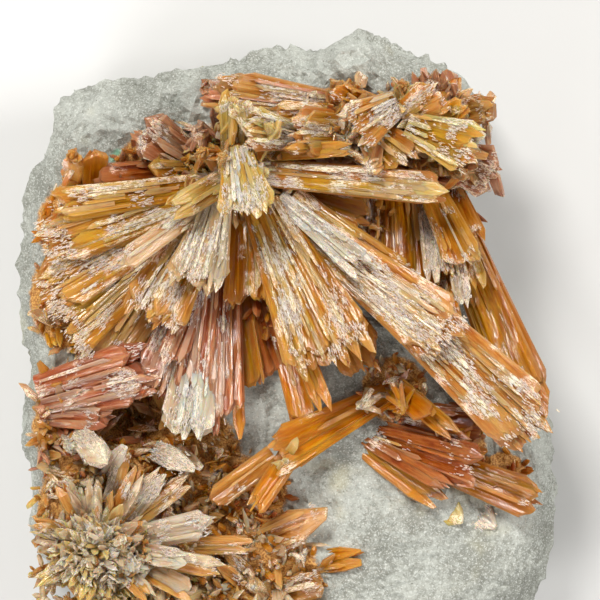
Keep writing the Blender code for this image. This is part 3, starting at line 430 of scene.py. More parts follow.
def ridged_section(width, dice):
    """Half-size outline of a lath: a ridged upper face, thin sides and a plain under face."""
    ridges = max(3, min(9, round(width / RIDGE_WIDTH)))
    top = [
        (-0.93 + 1.86 * (i + dice.uniform(-0.25, 0.25)) / (ridges - 1), dice.uniform(0.66, 1.0))
        for i in range(ridges)
    ]
    left, right = (-1.0, dice.uniform(-0.1, 0.4)), (1.0, dice.uniform(-0.1, 0.4))
    return np.array([left, *top, right, (0.7, -0.9), (-0.7, -0.9)])


def add_lath(heap, dice, root, tip, widths, thick, roll, colours, frost):
    """One long crystal with a ridged face, slight steps along it and a slanted chisel end."""
    length = (tip - root).length
    section = ridged_section(widths[1], dice)
    chisel = min(0.7 * widths[1] + 0.4 * thick, 0.35 * length) * dice.uniform(0.7, 1.5)
    slant = dice.uniform(-1.0, 1.0) * min(widths[1], 0.9)
    shafts = max(3, min(8, round(length / STEP_LENGTH)))
    reaches = np.append(np.linspace(0, 1, shafts) * (length - chisel), length)
    share = reaches / length
    wobble = np.array([[dice.uniform(0.94, 1.05), dice.uniform(0.92, 1.06)] for _ in reaches])
    half = (widths[0] + (widths[1] - widths[0]) * share) / 2 * wobble[:, 0]
    high = thick / 2 * (0.75 + 0.25 * share) * wobble[:, 1]
    half[-1] *= dice.uniform(0.05, 0.45)
    high[-1] *= 0.15
    u, v = half[:, None] * section[:, 0], high[:, None] * section[:, 1]
    slope = np.zeros_like(u)
    slope[-2:] = slant * section[:, 0] * 0.5
    places = (u, v, reaches[:, None] + slope)
    seed = [dice.uniform(0, 50) for _ in range(3)]
    # This mask marks the sides and the tip, which the material paints paler as a painted highlight
    edge = np.maximum(np.abs(section[:, 0])[None, :] ** 4, (share**6)[:, None]) + 0 * u
    heap.grow(root, tip, roll, places, seed, edge, share[:, None] + 0 * u, colours, frost)


def add_flake(heap, dice, root, tip, width, roll, colours, frost):
    """One thin flat sliver."""
    u = FLAKE_SECTION[:, 0] * width / 2 * np.array([[1.0], [dice.uniform(0.2, 0.7)]])
    v = FLAKE_SECTION[:, 1] * width / 4 * np.array([[1.0], [0.4]])
    places = (u, v, np.array([[0.0], [(tip - root).length]]) + 0 * u)
    heap.grow(root, tip, roll, places, dice.uniform(0, 50), 0 * u + 0.3, 0 * u + 0.9, colours, frost)


def add_needle(heap, dice, root, tip, width, roll, colours, frost):
    """One small crystal with a chisel end."""
    length = (tip - root).length
    u = SMALL_SECTION[:, 0] * width / 2 * np.array([[0.9], [1.0], [dice.uniform(0.3, 0.6)]])
    v = SMALL_SECTION[:, 1] * width * SMALL_FLATNESS / 2 * np.array([[0.9], [1.0], [0.15]])
    reach = np.array([[0.0], [length - min(0.7 * width, 0.5 * length)], [length]]) + 0 * u
    reach[1:] += dice.uniform(-0.25, 0.25) * width * SMALL_SECTION[:, 0]
    edge = np.array([[0.0], [0.25], [0.9]]) + 0 * u
    along = np.array([[0.3], [0.8], [1.0]]) + 0 * u
    heap.grow(root, tip, roll, (u, v, reach), dice.uniform(0, 50), edge, along, colours, frost)


def tinted(look, dice, whiten=0.0, spread=0.13, painted_shade=0.0):
    """One crystal's two colours, a little lighter or redder than its neighbours', and deeper by painted shade
    where it lies under others.
    """
    deep, pale = (np.array(colour) for colour in LOOKS[dice.choice(look.split())])
    light, warm = dice.uniform(1 - spread, 1 + spread), dice.uniform(-0.08, 0.08)
    tint = np.array([light * (1 + warm * 0.4), light, light * (1 - warm)])
    # Painted shade: a crystal lying under others gets a deeper colour
    pale = pale + (deep - pale) * 0.8 * painted_shade
    deep, pale = deep + (ETCHED - deep) * whiten * 0.6, pale + (ETCHED - pale) * whiten
    return np.clip(deep * tint, 0, 0.9), np.clip(pale * tint, 0, 0.9)


def add_blade(heap, dice, root, tip, widths, thick, roll, stagger, colours, frost):
    """A broad blade of grown-together fibres: a ridged face, thin sides, and a jagged end."""
    length = (tip - root).length
    columns = max(5, min(40, round(widths[1] / COLUMN_WIDTH)))
    rows = max(5, min(16, round(length / ROW_LENGTH)))
    side = np.linspace(-1, 1, columns)
    share = np.append(np.linspace(0, 0.97, rows), 1.0)
    ridges_at = dice.uniform(0, 90)
    half = (widths[0] + (widths[1] - widths[0]) * share) / 2
    u = half[:, None] * np.concatenate([side, [0.8, 0.0, -0.8]])
    jag = np.array([
        -stagger * (0.5 + 0.5 * noise.noise((x * widths[1] * 0.55, ridges_at, 3))) for x in side
    ])
    jag -= np.array([0.35 * stagger * dice.random() ** 2 for _ in side]) + 0.25 * stagger * side**4
    jag -= 0.38 * min(widths[1], 3.0) * np.abs(side - dice.uniform(-0.6, 0.6)) ** 1.4
    jag = np.concatenate([jag, jag[[-1, columns // 2, 0]]])
    reach = share[:, None] * length + jag * share[:, None] ** 4
    v = np.zeros_like(u)
    for row in range(len(share)):
        for column in range(columns):
            x, y = u[row, column], reach[row, column]
            ridge = 0.34 * noise.noise((x * 1.1, y * 0.12, ridges_at))
            ridge += 0.30 * noise.noise((x * 3.1, y * 0.2, ridges_at))
            v[row, column] = 0.72 + ridge
    # high is 0 in the grooves and on the under face, which the material paints darker as painted shade
    high = np.clip((v - 0.5) / 0.44, 0, 1)
    high[:, columns:] = 0
    v[:, :columns] *= (1 - 0.75 * side**8)
    v[:, columns:] = -0.85
    v *= (thick / 2 * (0.8 + 0.2 * share) * np.where(share > 0.98, 0.3, 1.0))[:, None]
    seed = [dice.uniform(0, 50) for _ in range(3)]
    rim = np.concatenate([np.abs(side) ** 10, [0, 0, 0]])
    edge = np.maximum(rim[None, :], (share**14)[:, None]) + 0 * u
    heap.grow(root, tip, roll, (u, v, reach), seed, edge, share[:, None] + 0 * u, colours, frost, high)


def add_sheaf(heap, sheaf, dice):
    """A sheaf's broad blades side by side, with single laths laid over them."""
    root, tip, axis, across, out = lines_of(sheaf)
    if sheaf.count <= 2:
        broad = 1.0 if sheaf.count == 1 else 0.66
        for index in range(sheaf.count):
            shift = across * ((index + 0.5) / sheaf.count - 0.5)
            start, end = root + shift * sheaf.spread[0], tip + shift * sheaf.spread[1]
            end -= axis * sheaf.stagger * index * dice.uniform(0.3, 1.0)
            add_lath(
                heap, dice, start, end, [broad * spread for spread in sheaf.spread], sheaf.thick,
                sheaf.roll + dice.uniform(-8, 8) * (sheaf.count - 1), tinted(sheaf.look, dice, 0, 0.07),
                sheaf.frost,
            )
        if sheaf.count == 1:
            return
    blades = round(sheaf.count / 3) if sheaf.count > 2 else 0
    for index in range(blades * sheaf.layers):
        layer = index // blades / (sheaf.layers - 1) if sheaf.layers > 1 else 0.5
        place = (index % blades + 0.5 + dice.uniform(-0.15, 0.15) * (blades > 1)) / blades - 0.5
        lift = out * ((layer - 0.5) * 0.35 + dice.uniform(-0.07, 0.07)) * sheaf.thick
        start = root + across * place * sheaf.spread[0] + lift
        end = tip + across * place * sheaf.spread[1] + lift
        drop = 0.5 * layer * (sheaf.layers > 1) + dice.uniform(0, 0.3) + 0.8 * place**2
        end -= axis * sheaf.stagger * drop
        size = 1.0 if blades == 1 else dice.uniform(1.15, 1.45)
        # Painted shade: lower layers are painted darker and less frosted than the layer above them
        painted_shade = 1 - layer if sheaf.layers > 1 else 0.2
        add_blade(
            heap, dice, start, end, [1.1 * spread / blades * size for spread in sheaf.spread],
            sheaf.thick * 0.75, sheaf.roll + dice.uniform(-4, 4), min(sheaf.stagger, 1.8) * 0.8,
            tinted(sheaf.look, dice, 0, 0.07, painted_shade), sheaf.frost * dice.uniform(0.8, 1.1) * (1 - 0.7 * painted_shade),
        )
    for index in range(sheaf.count * sheaf.layers // 2):
        place, depth = dice.uniform(-0.47, 0.47), dice.uniform(-0.4, 0.3)
        lift = out * depth * sheaf.thick
        start = root + across * place * sheaf.spread[0] + lift
        end = tip + across * place * sheaf.spread[1] + lift - axis * sheaf.stagger * dice.random() ** 1.5
        # Painted shade: laths that lie deeper in the sheaf are painted darker and less frosted
        width, painted_shade = dice.uniform(0.5, 1.5), min(1.0, max(0.0, 0.2 - 2 * depth))
        add_lath(
            heap, dice, start, end, (width * 0.6, width), dice.uniform(0.3, 0.45) * sheaf.thick,
            sheaf.roll + dice.uniform(-6, 6), tinted(sheaf.look, dice, 0, 0.1, painted_shade),
            sheaf.frost * dice.uniform(0.5, 1.3) * (1 - 0.7 * painted_shade),
        )


def place_on(sheaf, share, place):
    """A point on a sheaf's middle plane: share of the way along it and place across it, -0.5 to 0.5."""
    root, tip, _, across, _ = lines_of(sheaf)
    width = sheaf.spread[0] + (sheaf.spread[1] - sheaf.spread[0]) * share
    return root.lerp(tip, share) + across * place * width


def add_steps(heap, sheaf, dice):
    """Short thin laths that lie on a sheaf's upper face and end part of the way along it."""
    root, tip, _, _, out = lines_of(sheaf)
    for _ in range(sheaf.steps):
        ends_at = dice.uniform(0.3, 0.97)
        starts_at = max(0.02, ends_at - dice.uniform(2.5, 9.0) / (tip - root).length)
        place = dice.uniform(-0.46, 0.46)
        start = place_on(sheaf, starts_at, place) + out * (0.5 * sheaf.thick - 0.16)
        end = place_on(sheaf, ends_at, place) + out * (0.5 * sheaf.thick + dice.uniform(-0.08, 0.14))
        width = dice.uniform(0.2, 0.6)
        add_lath(
            heap, dice, start, end, (width * 0.7, width), dice.uniform(0.2, 0.32),
            sheaf.roll + dice.uniform(-10, 10),
            tinted(sheaf.look, dice, dice.uniform(0, 0.5) * sheaf.frost),
            sheaf.frost * dice.uniform(0.5, 1.3),
        )


def add_flakes(heap, sheaf, dice):
    """Small flat crystals that frost a sheaf's faces, nearly in line with it."""
    if sheaf.frost < BARE:
        return
    root, tip, axis, across, out = lines_of(sheaf)
    area = (tip - root).length * sum(sheaf.spread) / 2
    for _ in range(int(area * FLAKES_PER_MM2)):
        share, place = dice.uniform(0.04, 0.98), dice.uniform(-0.5, 0.5)
        spot = place_on(sheaf, share, place) + out * (0.5 * sheaf.thick * (0.8 + 0.25 * share))
        if patchiness(spot) + FROST_WEIGHT * sheaf.frost < FLAKES_FROM + dice.uniform(-0.07, 0.07):
            continue
        lean = (axis + out * dice.uniform(0.0, 0.35) + across * dice.uniform(-0.3, 0.3)).normalized()
        size = dice.uniform(0.2, 0.7)
        add_flake(
            heap, dice, spot - lean * size * 0.6, spot + lean * size * 0.4, dice.uniform(0.08, 0.2),
            sheaf.roll + dice.uniform(-35, 35), tinted(sheaf.look, dice, dice.uniform(0.2, 0.9)),
            min(1.0, sheaf.frost + 0.2),
        )


def add_upright(heap, sheaf, dice):
    """A stub seen end-on: a core among blades that lean out from it like petals."""
    root, tip, axis, across, out = lines_of(sheaf)
    half = (sheaf.spread[1] / 2, sheaf.thick / 2)
    length = (tip - root).length
    add_core(heap, dice, root, axis * length * 0.72, across * half[0] * 0.8, out * half[1] * 0.8, sheaf)
    petals = max(8, int(half[0] * half[1] * 4))
    for index in range(petals):
        far, turn = math.sqrt((index + 0.5) / petals), index * GOLDEN_TURN + dice.uniform(-0.3, 0.3)
        off = across * math.cos(turn) * half[0] + out * math.sin(turn) * half[1]
        end = tip + off * far * 0.95 - axis * (1.3 * far**2 + dice.uniform(0, 0.8))
        jitter = Vector((dice.gauss(0, 0.12), dice.gauss(0, 0.12), 0))
        lean = (axis + off.normalized() * 0.85 * far + jitter).normalized()
        facing = roll_towards(lean, Vector((dice.gauss(0, 0.4), dice.gauss(0, 0.4), 1)))
        width = dice.uniform(0.6, 1.2) * min(half) + 0.3
        add_blade(
            heap, dice, end - lean * min(5.0, 0.6 * length), end, (width * 0.6, width),
            width * dice.uniform(0.3, 0.5), facing, 0.5,
            tinted(sheaf.look, dice, dice.uniform(0, 0.35), 0.07), sheaf.frost * dice.uniform(0.5, 1.2),
        )


def add_core(heap, dice, root, axis, across, out, sheaf):
    """A stout many-sided column with a domed top."""
    turns = [2 * math.pi * (side + dice.uniform(-0.3, 0.3)) / CORE_SIDES for side in range(CORE_SIDES)]
    reaches = [dice.uniform(0.75, 1.12) for _ in turns]
    rings = np.array([
        [
            root + axis * share * dice.uniform(0.985, 1.0)
            + (across * math.cos(turn) + out * math.sin(turn)) * size * reach * dice.uniform(0.94, 1.06)
            for turn, reach in zip(turns, reaches)
        ]
        for share, size in CORE_RINGS
    ])
    local, flat = rings + dice.uniform(0, 50), np.zeros(rings.shape[:2])
    heap.add(rings, local, flat + 0.15, flat + 0.7, tinted(sheaf.look, dice, 0.1, 0.05), sheaf.frost)


def add_clump(heap, clump, dice):
    """Flat crystals that stand close together, the middle ones highest."""
    for _ in range(int(math.pi * clump.radius**2 * CLUMP_DENSITY / clump.broad)):
        far, angle = math.sqrt(dice.random()), dice.uniform(0, 2 * math.pi)
        off = Vector((math.cos(angle), math.sin(angle), 0)) * far * clump.radius
        tip = Vector((clump.x, clump.y, clump.top - 2.0 * far**2 - dice.uniform(0, 1.6))) + off
        jitter = Vector((dice.gauss(0, 0.35), dice.gauss(0, 0.35), 0))
        lean = (Vector((0, 0, 1)) + off * 0.22 + jitter).normalized()
        facing = roll_towards(lean, Vector((dice.gauss(0, 0.5), dice.gauss(0, 0.5), 1)))
        width = clump.broad * dice.uniform(0.35, 1.0)
        add_lath(
            heap, dice, tip - lean * 4.5, tip, (width * 0.6, width), width * dice.uniform(0.3, 0.55), facing,
            tinted(clump.look, dice, dice.uniform(0, 0.35), 0.1), clump.frost * dice.uniform(0.4, 1.3),
        )


def add_burst(heap, burst, dice):
    """Single crystals that stand out every way from one centre."""
    centre = Vector(burst.centre)
    for _ in range(burst.number):
        turn, rise = dice.uniform(0, 2 * math.pi), math.radians(dice.uniform(12, 80))
        way = Vector((math.cos(turn) * math.cos(rise), math.sin(turn) * math.cos(rise), math.sin(rise)))
        reach = burst.reach * dice.uniform(0.45, 1.0) * (0.62 + 0.38 * math.cos(rise))
        width = dice.uniform(0.5, 1.5)
        add_lath(
            heap, dice, centre + way * reach * 0.15, centre + way * reach, (width * 0.6, width),
            width * dice.uniform(0.4, 0.8), dice.uniform(-60, 60),
            tinted(burst.look, dice, dice.uniform(0, 0.4)), burst.frost * dice.uniform(0.4, 1.3),
        )


class Nodes:
    """Short ways to add shader nodes to a new material."""

    def __init__(self, name):
        self.material = bpy.data.materials.new(name)
        self.material.use_nodes = True
        self.tree = self.material.node_tree
        self.shader = self.tree.nodes["Principled BSDF"]

    def add(self, kind, inputs=None, **settings):
        node = self.tree.nodes.new(kind)
        for name, value in settings.items():
            setattr(node, name, value)
        for name, value in (inputs or {}).items():
            self.feed(node.inputs[name], value)
        return node

    def feed(self, socket, value):
        if isinstance(value, bpy.types.NodeSocket):
            self.tree.links.new(value, socket)
        else:
            socket.default_value = value

    def shade(self, inputs):
        for name, value in inputs.items():
            self.feed(self.shader.inputs[name], value)

    def maths(self, operation, first, second):
        node = self.add("ShaderNodeMath", operation=operation)
        self.feed(node.inputs[0], first)
        self.feed(node.inputs[1], second)
        return node.outputs[0]

    def shift(self, base, value, weight, middle=None):
        """base plus a value times a weight, where the value may count from a middle."""
        if middle is not None:
            value = self.maths("SUBTRACT", value, middle)
        return self.maths("ADD", base, self.maths("MULTIPLY", value, weight))

    def remap(self, value, low, high, to_low=0.0, to_high=1.0):
        ends = {"From Min": low, "From Max": high, "To Min": to_low, "To Max": to_high}
        node = self.add("ShaderNodeMapRange", {"Value": value, **ends}, interpolation_type="SMOOTHSTEP")
        return node.outputs[0]

    def mix(self, share, first, second, blend="MIX"):
        node = self.add("ShaderNodeMix", data_type="RGBA", blend_type=blend)
        self.feed(node.inputs[0], share)
        self.feed(node.inputs[6], first)
        self.feed(node.inputs[7], second)
        return node.outputs[2]

    def noise(self, where, scale, detail, roughness, stretch=(1, 1, 1)):
        scales = tuple(scale * s for s in stretch)
        moved = self.add("ShaderNodeVectorMath", {0: where, 1: scales}, operation="MULTIPLY")
        node = self.add("ShaderNodeTexNoise", {"Scale": 1.0, "Detail": detail, "Roughness": roughness})
        self.tree.links.new(moved.outputs[0], node.inputs["Vector"])
        return node.outputs["Fac"]

    def trait(self, name, output="Fac"):
        return self.add("ShaderNodeAttribute", attribute_name=name).outputs[output]

    def bump(self, height, strength, distance, normal=None):
        node = self.add("ShaderNodeBump", {"Height": height, "Strength": strength, "Distance": distance})
        if normal is not None:
            self.tree.links.new(normal, node.inputs["Normal"])
        return node.outputs["Normal"]


def creedite_material():
    """Translucent creedite, streaked along each crystal, painted paler at edges and tips as a highlight and
    darker in grooves as shade, etched in patches, with painted white glints.
    """
    n = Nodes("creedite")
    crystal = n.trait("crystal", "Vector")
    place = n.add("ShaderNodeNewGeometry").outputs["Position"]
    deep, pale = n.trait("deep", "Color"), n.trait("pale", "Color")
    fibres = n.noise(crystal, 6.0, 3.0, 0.6, (1.0, 1.0, 0.10))
    veils = n.noise(crystal, 0.8, 4.0, 0.6, (1.0, 1.0, 0.35))
    blend = n.shift(n.maths("MULTIPLY", fibres, 0.5), veils, 0.5)
    blend = n.shift(blend, n.trait("along"), 0.06)
    # Painted shade: grooves, where high is low, are painted deeper and ridges paler
    blend = n.shift(blend, n.trait("high"), 0.14, 0.6)
    colour = n.mix(n.remap(blend, 0.42, 0.68), deep, pale)
    depths = n.mix(1.0, deep, (0.6, 0.42, 0.3, 1), "MULTIPLY")
    colour = n.mix(n.remap(veils, 0.42, 0.30, 0.0, 0.6), colour, depths)
    # Painted highlight: each crystal's rims and tips are painted paler
    rim_highlight_tint = n.mix(0.3, pale, (0.84, 0.72, 0.52, 1))
    colour = n.mix(n.maths("MULTIPLY", n.trait("edge"), 0.45), colour, rim_highlight_tint)
    streaks = n.noise(crystal, 8.0, 4.0, 0.72, (1.0, 1.0, 0.22))
    ragged = n.noise(place, 900.0, 4.0, 0.65)
    cover = n.shift(n.trait("patch"), n.trait("frost"), FROST_WEIGHT)
    # Painted shade: frost is kept to the ridges and out of the grooves
    cover = n.shift(cover, n.trait("high"), 0.12, 0.7)
    cover = n.remap(n.shift(cover, ragged, 0.5, 0.5), 0.66, 0.82)
    frost = n.maths("MULTIPLY", cover, n.remap(streaks, 0.42, 0.54))
    # Painted glints: tiny white specks, a painted highlight, merged into the frost mask that whitens the
    # colour
    specks = n.remap(n.noise(place, 6000.0, 2.0, 0.7), 0.66, 0.74)
    specks = n.maths("MULTIPLY", specks, n.remap(n.trait("frost"), 0.0, 0.6, 0.06, 0.22))
    frost = n.maths("MAXIMUM", frost, specks)
    rough = n.maths("MULTIPLY", streaks, n.maths("ADD", cover, 0.08))
    n.shade({
        "Base Color": n.mix(n.maths("MULTIPLY", frost, 0.85), colour, (0.94, 0.79, 0.64, 1)),
        "Roughness": n.remap(frost, 0, 1, 0.14, 0.42),
        "Transmission Weight": n.remap(frost, 0, 1, 0.5, 0.15),
        "IOR": 1.46,
        "Specular IOR Level": 0.35,
        "Subsurface Weight": 0.5,
        "Subsurface Radius": (1.0, 0.5, 0.2),
        "Subsurface Scale": 0.8 * MM,
        "Normal": n.bump(rough, 0.7, 0.09 * MM, n.bump(fibres, 0.5, 0.07 * MM)),
    })
    return n.material


# Where a pale green mineral shows on the rock
GREEN_SPOT = ((-18.3 - MIDDLE_X) * MM, (14.3 - MIDDLE_Y) * MM, 0)


def rock_material():
    """Pale grey rock of fine grains, with a green spot, dark specks, and amber stains at the crystals."""
    n = Nodes("rock")
    place = n.add("ShaderNodeNewGeometry").outputs["Position"]
    broad = n.noise(place, 150.0, 4.0, 0.6)
    grains = n.noise(place, 1700.0, 4.0, 0.7)
    fine = n.noise(place, 5200.0, 2.0, 0.7)
    specks = n.noise(place, 3300.0, 2.0, 0.6)
    tone = n.shift(n.maths("MULTIPLY", broad, 0.55), grains, 0.45)
    colour = n.mix(n.remap(tone, 0.38, 0.60), (0.19, 0.195, 0.165, 1), (0.38, 0.395, 0.355, 1))
    colour = n.mix(n.remap(fine, 0.50, 0.70, 0.0, 0.8), colour, (0.56, 0.58, 0.54, 1))
    colour = n.mix(n.remap(specks, 0.36, 0.27, 0.0, 0.8), colour, (0.14, 0.14, 0.11, 1))
    tint = n.noise(place, 90.0, 3.0, 0.6)
    colour = n.mix(n.remap(tint, 0.56, 0.70, 0.0, 0.5), colour, (0.46, 0.43, 0.27, 1))
    level = n.add("ShaderNodeVectorMath", {0: place, 1: (1, 1, 0)}, operation="MULTIPLY").outputs[0]
    away = n.add("ShaderNodeVectorMath", {0: level, 1: GREEN_SPOT}, operation="DISTANCE")
    away = n.shift(away.outputs["Value"], broad, 3.0 * MM, 0.5)
    colour = n.mix(n.remap(away, 0.9 * MM, 0.3 * MM, 0.0, 0.8), colour, (0.18, 0.50, 0.33, 1))
    amber = n.mix(n.remap(fine, 0.35, 0.65), (0.26, 0.09, 0.012, 1), (0.60, 0.32, 0.08, 1))
    stain = n.remap(n.shift(n.trait("stain"), grains, 0.9, 0.5), 0.35, 0.65)
    n.shade({
        "Base Color": n.mix(stain, colour, amber),
        "Roughness": n.remap(fine, 0.3, 0.7, 0.85, 0.5),
        "Normal": n.bump(n.shift(grains, fine, 0.6), 0.7, 0.12 * MM),
    })
    return n.material


# Where small crystals cover the rock: x, y, radius, how many to a square millimetre, and looks
CRUSTS = [
    (-21, -13, 6.5, 2.2, "amber brown red"),
    (-12.5, -16.5, 6.5, 2.2, "amber brown"),
    (-20, -24.5, 8.5, 2.4, "brown pale yellow"),
    (-10, -24.5, 7, 2.4, "amber brown pale"),
    (-14, -31, 6, 2.2, "brown yellow pale"),
    (-5, -19.5, 3.6, 2.2, "amber garnet"),
    (-4, -28.5, 6, 2.2, "brown amber pale"),
    (-22.5, 0, 5, 1.6, "amber golden"),
    (-22, 7.5, 4.5, 1.6, "golden amber"),
    (-14, 12, 5, 1.4, "amber purple"),
    (-13, -2, 9, 1.4, "garnet amber"),
    (-3.6, 1.5, 4.6, 1.8, "garnet amber smooth_red"),
    (-6.5, 12, 6, 1.2, "amber golden"),
    (2, 15.5, 5.5, 1.2, "amber purple"),
    (11.5, 16, 5.5, 1.2, "amber purple"),
    (11, 8, 6.5, 1.4, "amber garnet"),
    (3, 8, 6.5, 1.4, "amber garnet"),
    (9.5, -9, 3.2, 2, "garnet amber pale"),
    (15.5, -15, 3.2, 1.8, "garnet amber"),
    (20.5, -17.8, 2.4, 1.8, "garnet amber"),
]
# No crust lies farther from the middle line than this, nor below this y
CRUST_HALF_WIDTH, CRUST_LOWEST_Y = 25.6, -33.6
# Crust crystals longer than this are laths
LATH_FROM = 1.6
# Stains reach down to the first height well inside the face, and to the second near the walls
STAIN_HALF_WIDTH, STAIN_LOWEST_Y = 24.0, -31.5
STAIN_DOWN_TO, STAIN_DOWN_TO_AT_WALLS, STAIN_FADE = 4.0, 9.4, 1.6

# The rock seen from above, as the photo shows it and as it is guessed to go on past the photo's edges
ROCK_OUTLINE = [
    (-22.7, 20.8), (-17.5, 22.3), (-14, 23.4), (-10, 24.3), (-5, 24.8), (-1, 25.3), (2, 25.1),
    (2.8, 26.4), (5.2, 27.2), (7, 27), (8.8, 25.7), (10, 25), (13, 24.4), (16, 23.8), (17.6, 22.6),
    (18, 20.4), (17.6, 17), (17, 12), (15.8, 7), (16.4, 2), (18.4, -2.8), (20.4, -5),
    (22.6, -8.2), (24.6, -12), (26, -18), (25.8, -25), (23.4, -31), (17, -34), (8, -35.4),
    (-4, -35), (-14, -34.2), (-22, -32), (-26.4, -26), (-27.8, -17), (-27.6, -6),
    (-28, 4), (-27, 13), (-25, 18.6),
]
UP = np.array((0.0, 0.0, 1.0))
ROCK_MIDDLE_Y = -4.0
ROCK_FACE = 12.0
# Where face and wall end on the sphere that the rock is made from, as shares of the way down it
FACE_ENDS, WALL_ENDS = 0.46, 0.70
# Where the face starts to fall and where it ends, as shares of the way to the outline, and how far it falls,
# and by what share the back is narrower
RIM_STARTS, RIM_ENDS, RIM_DROP, WALL_PULL = 0.86, 0.985, 2.6, 0.10
FACE_SWELL, WALL_ROUGHNESS = 0.7, 1.4
# Rises and pits of the face: x, y, radius and height
ROCK_FEATURES = [
    (-5, 17, 11, 1.4), (5.4, 24.6, 2.6, 2.2), (-14, 20.5, 5, 1.2), (-20.5, 18, 3, -1),
    (-15.3, 20.7, 0.8, -1), (-13.1, 20, 0.6, -1), (-17, -11.8, 2.4, -5), (1.8, -16.2, 0.9, -1.2),
    (-3, -20, 1.8, -2.2), (11, -28, 7, 1.2), (0, -29.5, 1.6, -2.4),
]


def rock_points(directions):
    """Where points of the unit sphere land on the rock: face, wall or back, with its roughness."""
    x, y = np.array(ROCK_OUTLINE).T
    angles, reaches = np.arctan2(y - ROCK_MIDDLE_Y, x), np.hypot(x, y - ROCK_MIDDLE_Y)
    order = np.argsort(angles)
    polar = np.arccos(np.clip(directions[:, 2], -1, 1)) / math.pi
    angle = np.arctan2(directions[:, 1], directions[:, 0])
    nearby = angle[:, None] + np.radians([-2, -1, 0, 1, 2])
    reach = np.interp(nearby, angles[order], reaches[order], period=2 * math.pi).mean(axis=1)
    face, back = polar < FACE_ENDS, polar >= WALL_ENDS
    level = np.where(face, 1.0, np.where(back, 0.0, 1 - (polar - FACE_ENDS) / (WALL_ENDS - FACE_ENDS)))
    share = np.where(
        face, RIM_ENDS * polar / FACE_ENDS,
        np.where(back, (1 - WALL_PULL) * (1 - polar) / (1 - WALL_ENDS),
                 1.0 - WALL_PULL * (1 - level) ** 2 - (1 - RIM_ENDS) * level),
    )
    past_rim = np.clip((share - RIM_STARTS) / (RIM_ENDS - RIM_STARTS), 0, None)
    drop = RIM_DROP * np.where(face, past_rim**2, 1.0)
    x = share * reach * np.cos(angle)
    y = share * reach * np.sin(angle) + ROCK_MIDDLE_Y
    top = np.full(len(x), ROCK_FACE)
    for across, along, radius, rise in ROCK_FEATURES:
        top += rise * np.exp(-((x - across) ** 2 + (y - along) ** 2) / (2 * radius**2))
    z = (top - drop) * level
    points = np.column_stack([x, y, z])
    outwards = np.column_stack([np.cos(angle), np.sin(angle), 0 * angle])
    for number, place in enumerate(points):
        if not back[number]:
            broad, fine = unevenness(Vector(place))
            if face[number]:
                points[number] += (FACE_SWELL * broad + fine) * UP
            else:
                points[number] += (WALL_ROUGHNESS * broad + WALL_ROUGHNESS * fine) * outwards[number]
    return points


def unevenness(spot):
    """The rock's broad swell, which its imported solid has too, and its finer breaks."""
    broad = noise.noise(spot * 0.16) + 0.5 * noise.noise(spot * 0.45)
    height = 0.4 + 0.9 * min(1.0, max(0.0, (spot.y - 6.0) / 12.0))
    ledges = abs(noise.noise(spot * 0.55 + Vector((7, 3, 1)))) * height
    return broad, 0.2 - ledges + 0.2 * noise.noise(spot * 1.7) + 0.12 * noise.noise(spot * 4.0)


def face_height(x, y):
    """Height of the rock's face inside its rim."""
    top = ROCK_FACE
    for across, along, radius, rise in ROCK_FEATURES:
        top += rise * math.exp(-((x - across) ** 2 + (y - along) ** 2) / (2 * radius**2))
    broad, fine = unevenness(Vector((x, y, top)))
    return top + FACE_SWELL * broad + fine


def stains(points, on_face):
    """How far each point of the rock lies within a crust, from 0 to 1, and none of it down the walls."""
    covered = np.zeros(len(points))
    for x, y, radius, *_ in CRUSTS:
        distance = np.hypot(points[:, 0] - x, points[:, 1] - y) / radius
        covered = np.maximum(covered, np.clip((1.2 - distance) / 0.35, 0, 1))
    inside = (np.abs(points[:, 0] - MIDDLE_X) < STAIN_HALF_WIDTH) & (points[:, 1] > STAIN_LOWEST_Y)
    down_to = np.where(on_face & inside, STAIN_DOWN_TO, STAIN_DOWN_TO_AT_WALLS)
    return covered * np.clip((points[:, 2] - down_to) / STAIN_FADE, 0, 1)


def build_crust(material):
    """Small crystals all over the rock between the sprays, leaning every way."""
    heap, dice = Heap(), random.Random("crust")
    for x, y, radius, density, looks in CRUSTS:
        for _ in range(int(math.pi * radius**2 * density)):
            far, angle = radius * math.sqrt(dice.random()), dice.uniform(0, 2 * math.pi)
            across, along = x + far * math.cos(angle), y + far * math.sin(angle)
            if abs(across - MIDDLE_X) > CRUST_HALF_WIDTH or along < CRUST_LOWEST_Y:
                continue
            size = dice.uniform(0.7, 1.5) * (2.0 if dice.random() < 0.25 else 1.0)
            width = size * dice.uniform(0.3, 0.6)
            lean = Vector((dice.gauss(0, 0.8), dice.gauss(0, 0.8), 1.0)).normalized()
            root = Vector((across, along, face_height(across, along) - 0.5))
            tip = root + lean * (size + 0.5)
            colours, frost = tinted(looks, dice, dice.choice((0, 0, 0, 0.4))), dice.uniform(0, 0.5)
            roll = dice.uniform(0, 180)
            if size > LATH_FROM:
                add_lath(heap, dice, root, tip, (width * 0.7, width), width * 0.5, roll, colours, frost)
            else:
                add_needle(heap, dice, root, tip, width, roll, colours, frost)
    piece = heap.to_object("crust_crystals", material)
    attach(piece, "root")


def build_rock():
    bpy.ops.mesh.primitive_ico_sphere_add(subdivisions=7, radius=1)
    rock = bpy.context.object
    rock.name = rock.data.name = "rock"
    count = len(rock.data.vertices)
    directions = np.empty(count * 3)
    rock.data.vertices.foreach_get("co", directions)
    directions = directions.reshape(-1, 3)
    directions /= np.linalg.norm(directions, axis=1, keepdims=True)
    points = rock_points(directions)
    rock.data.vertices.foreach_set("co", to_frame(points).ravel())
    on_face = np.arccos(np.clip(directions[:, 2], -1, 1)) / math.pi < FACE_ENDS
    add_trait(rock.data, "stain", "FLOAT", "value", stains(points, on_face))
    rock.data.update()
    rock.data.materials.append(rock_material())
    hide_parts("matrix")
    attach(rock, "root")


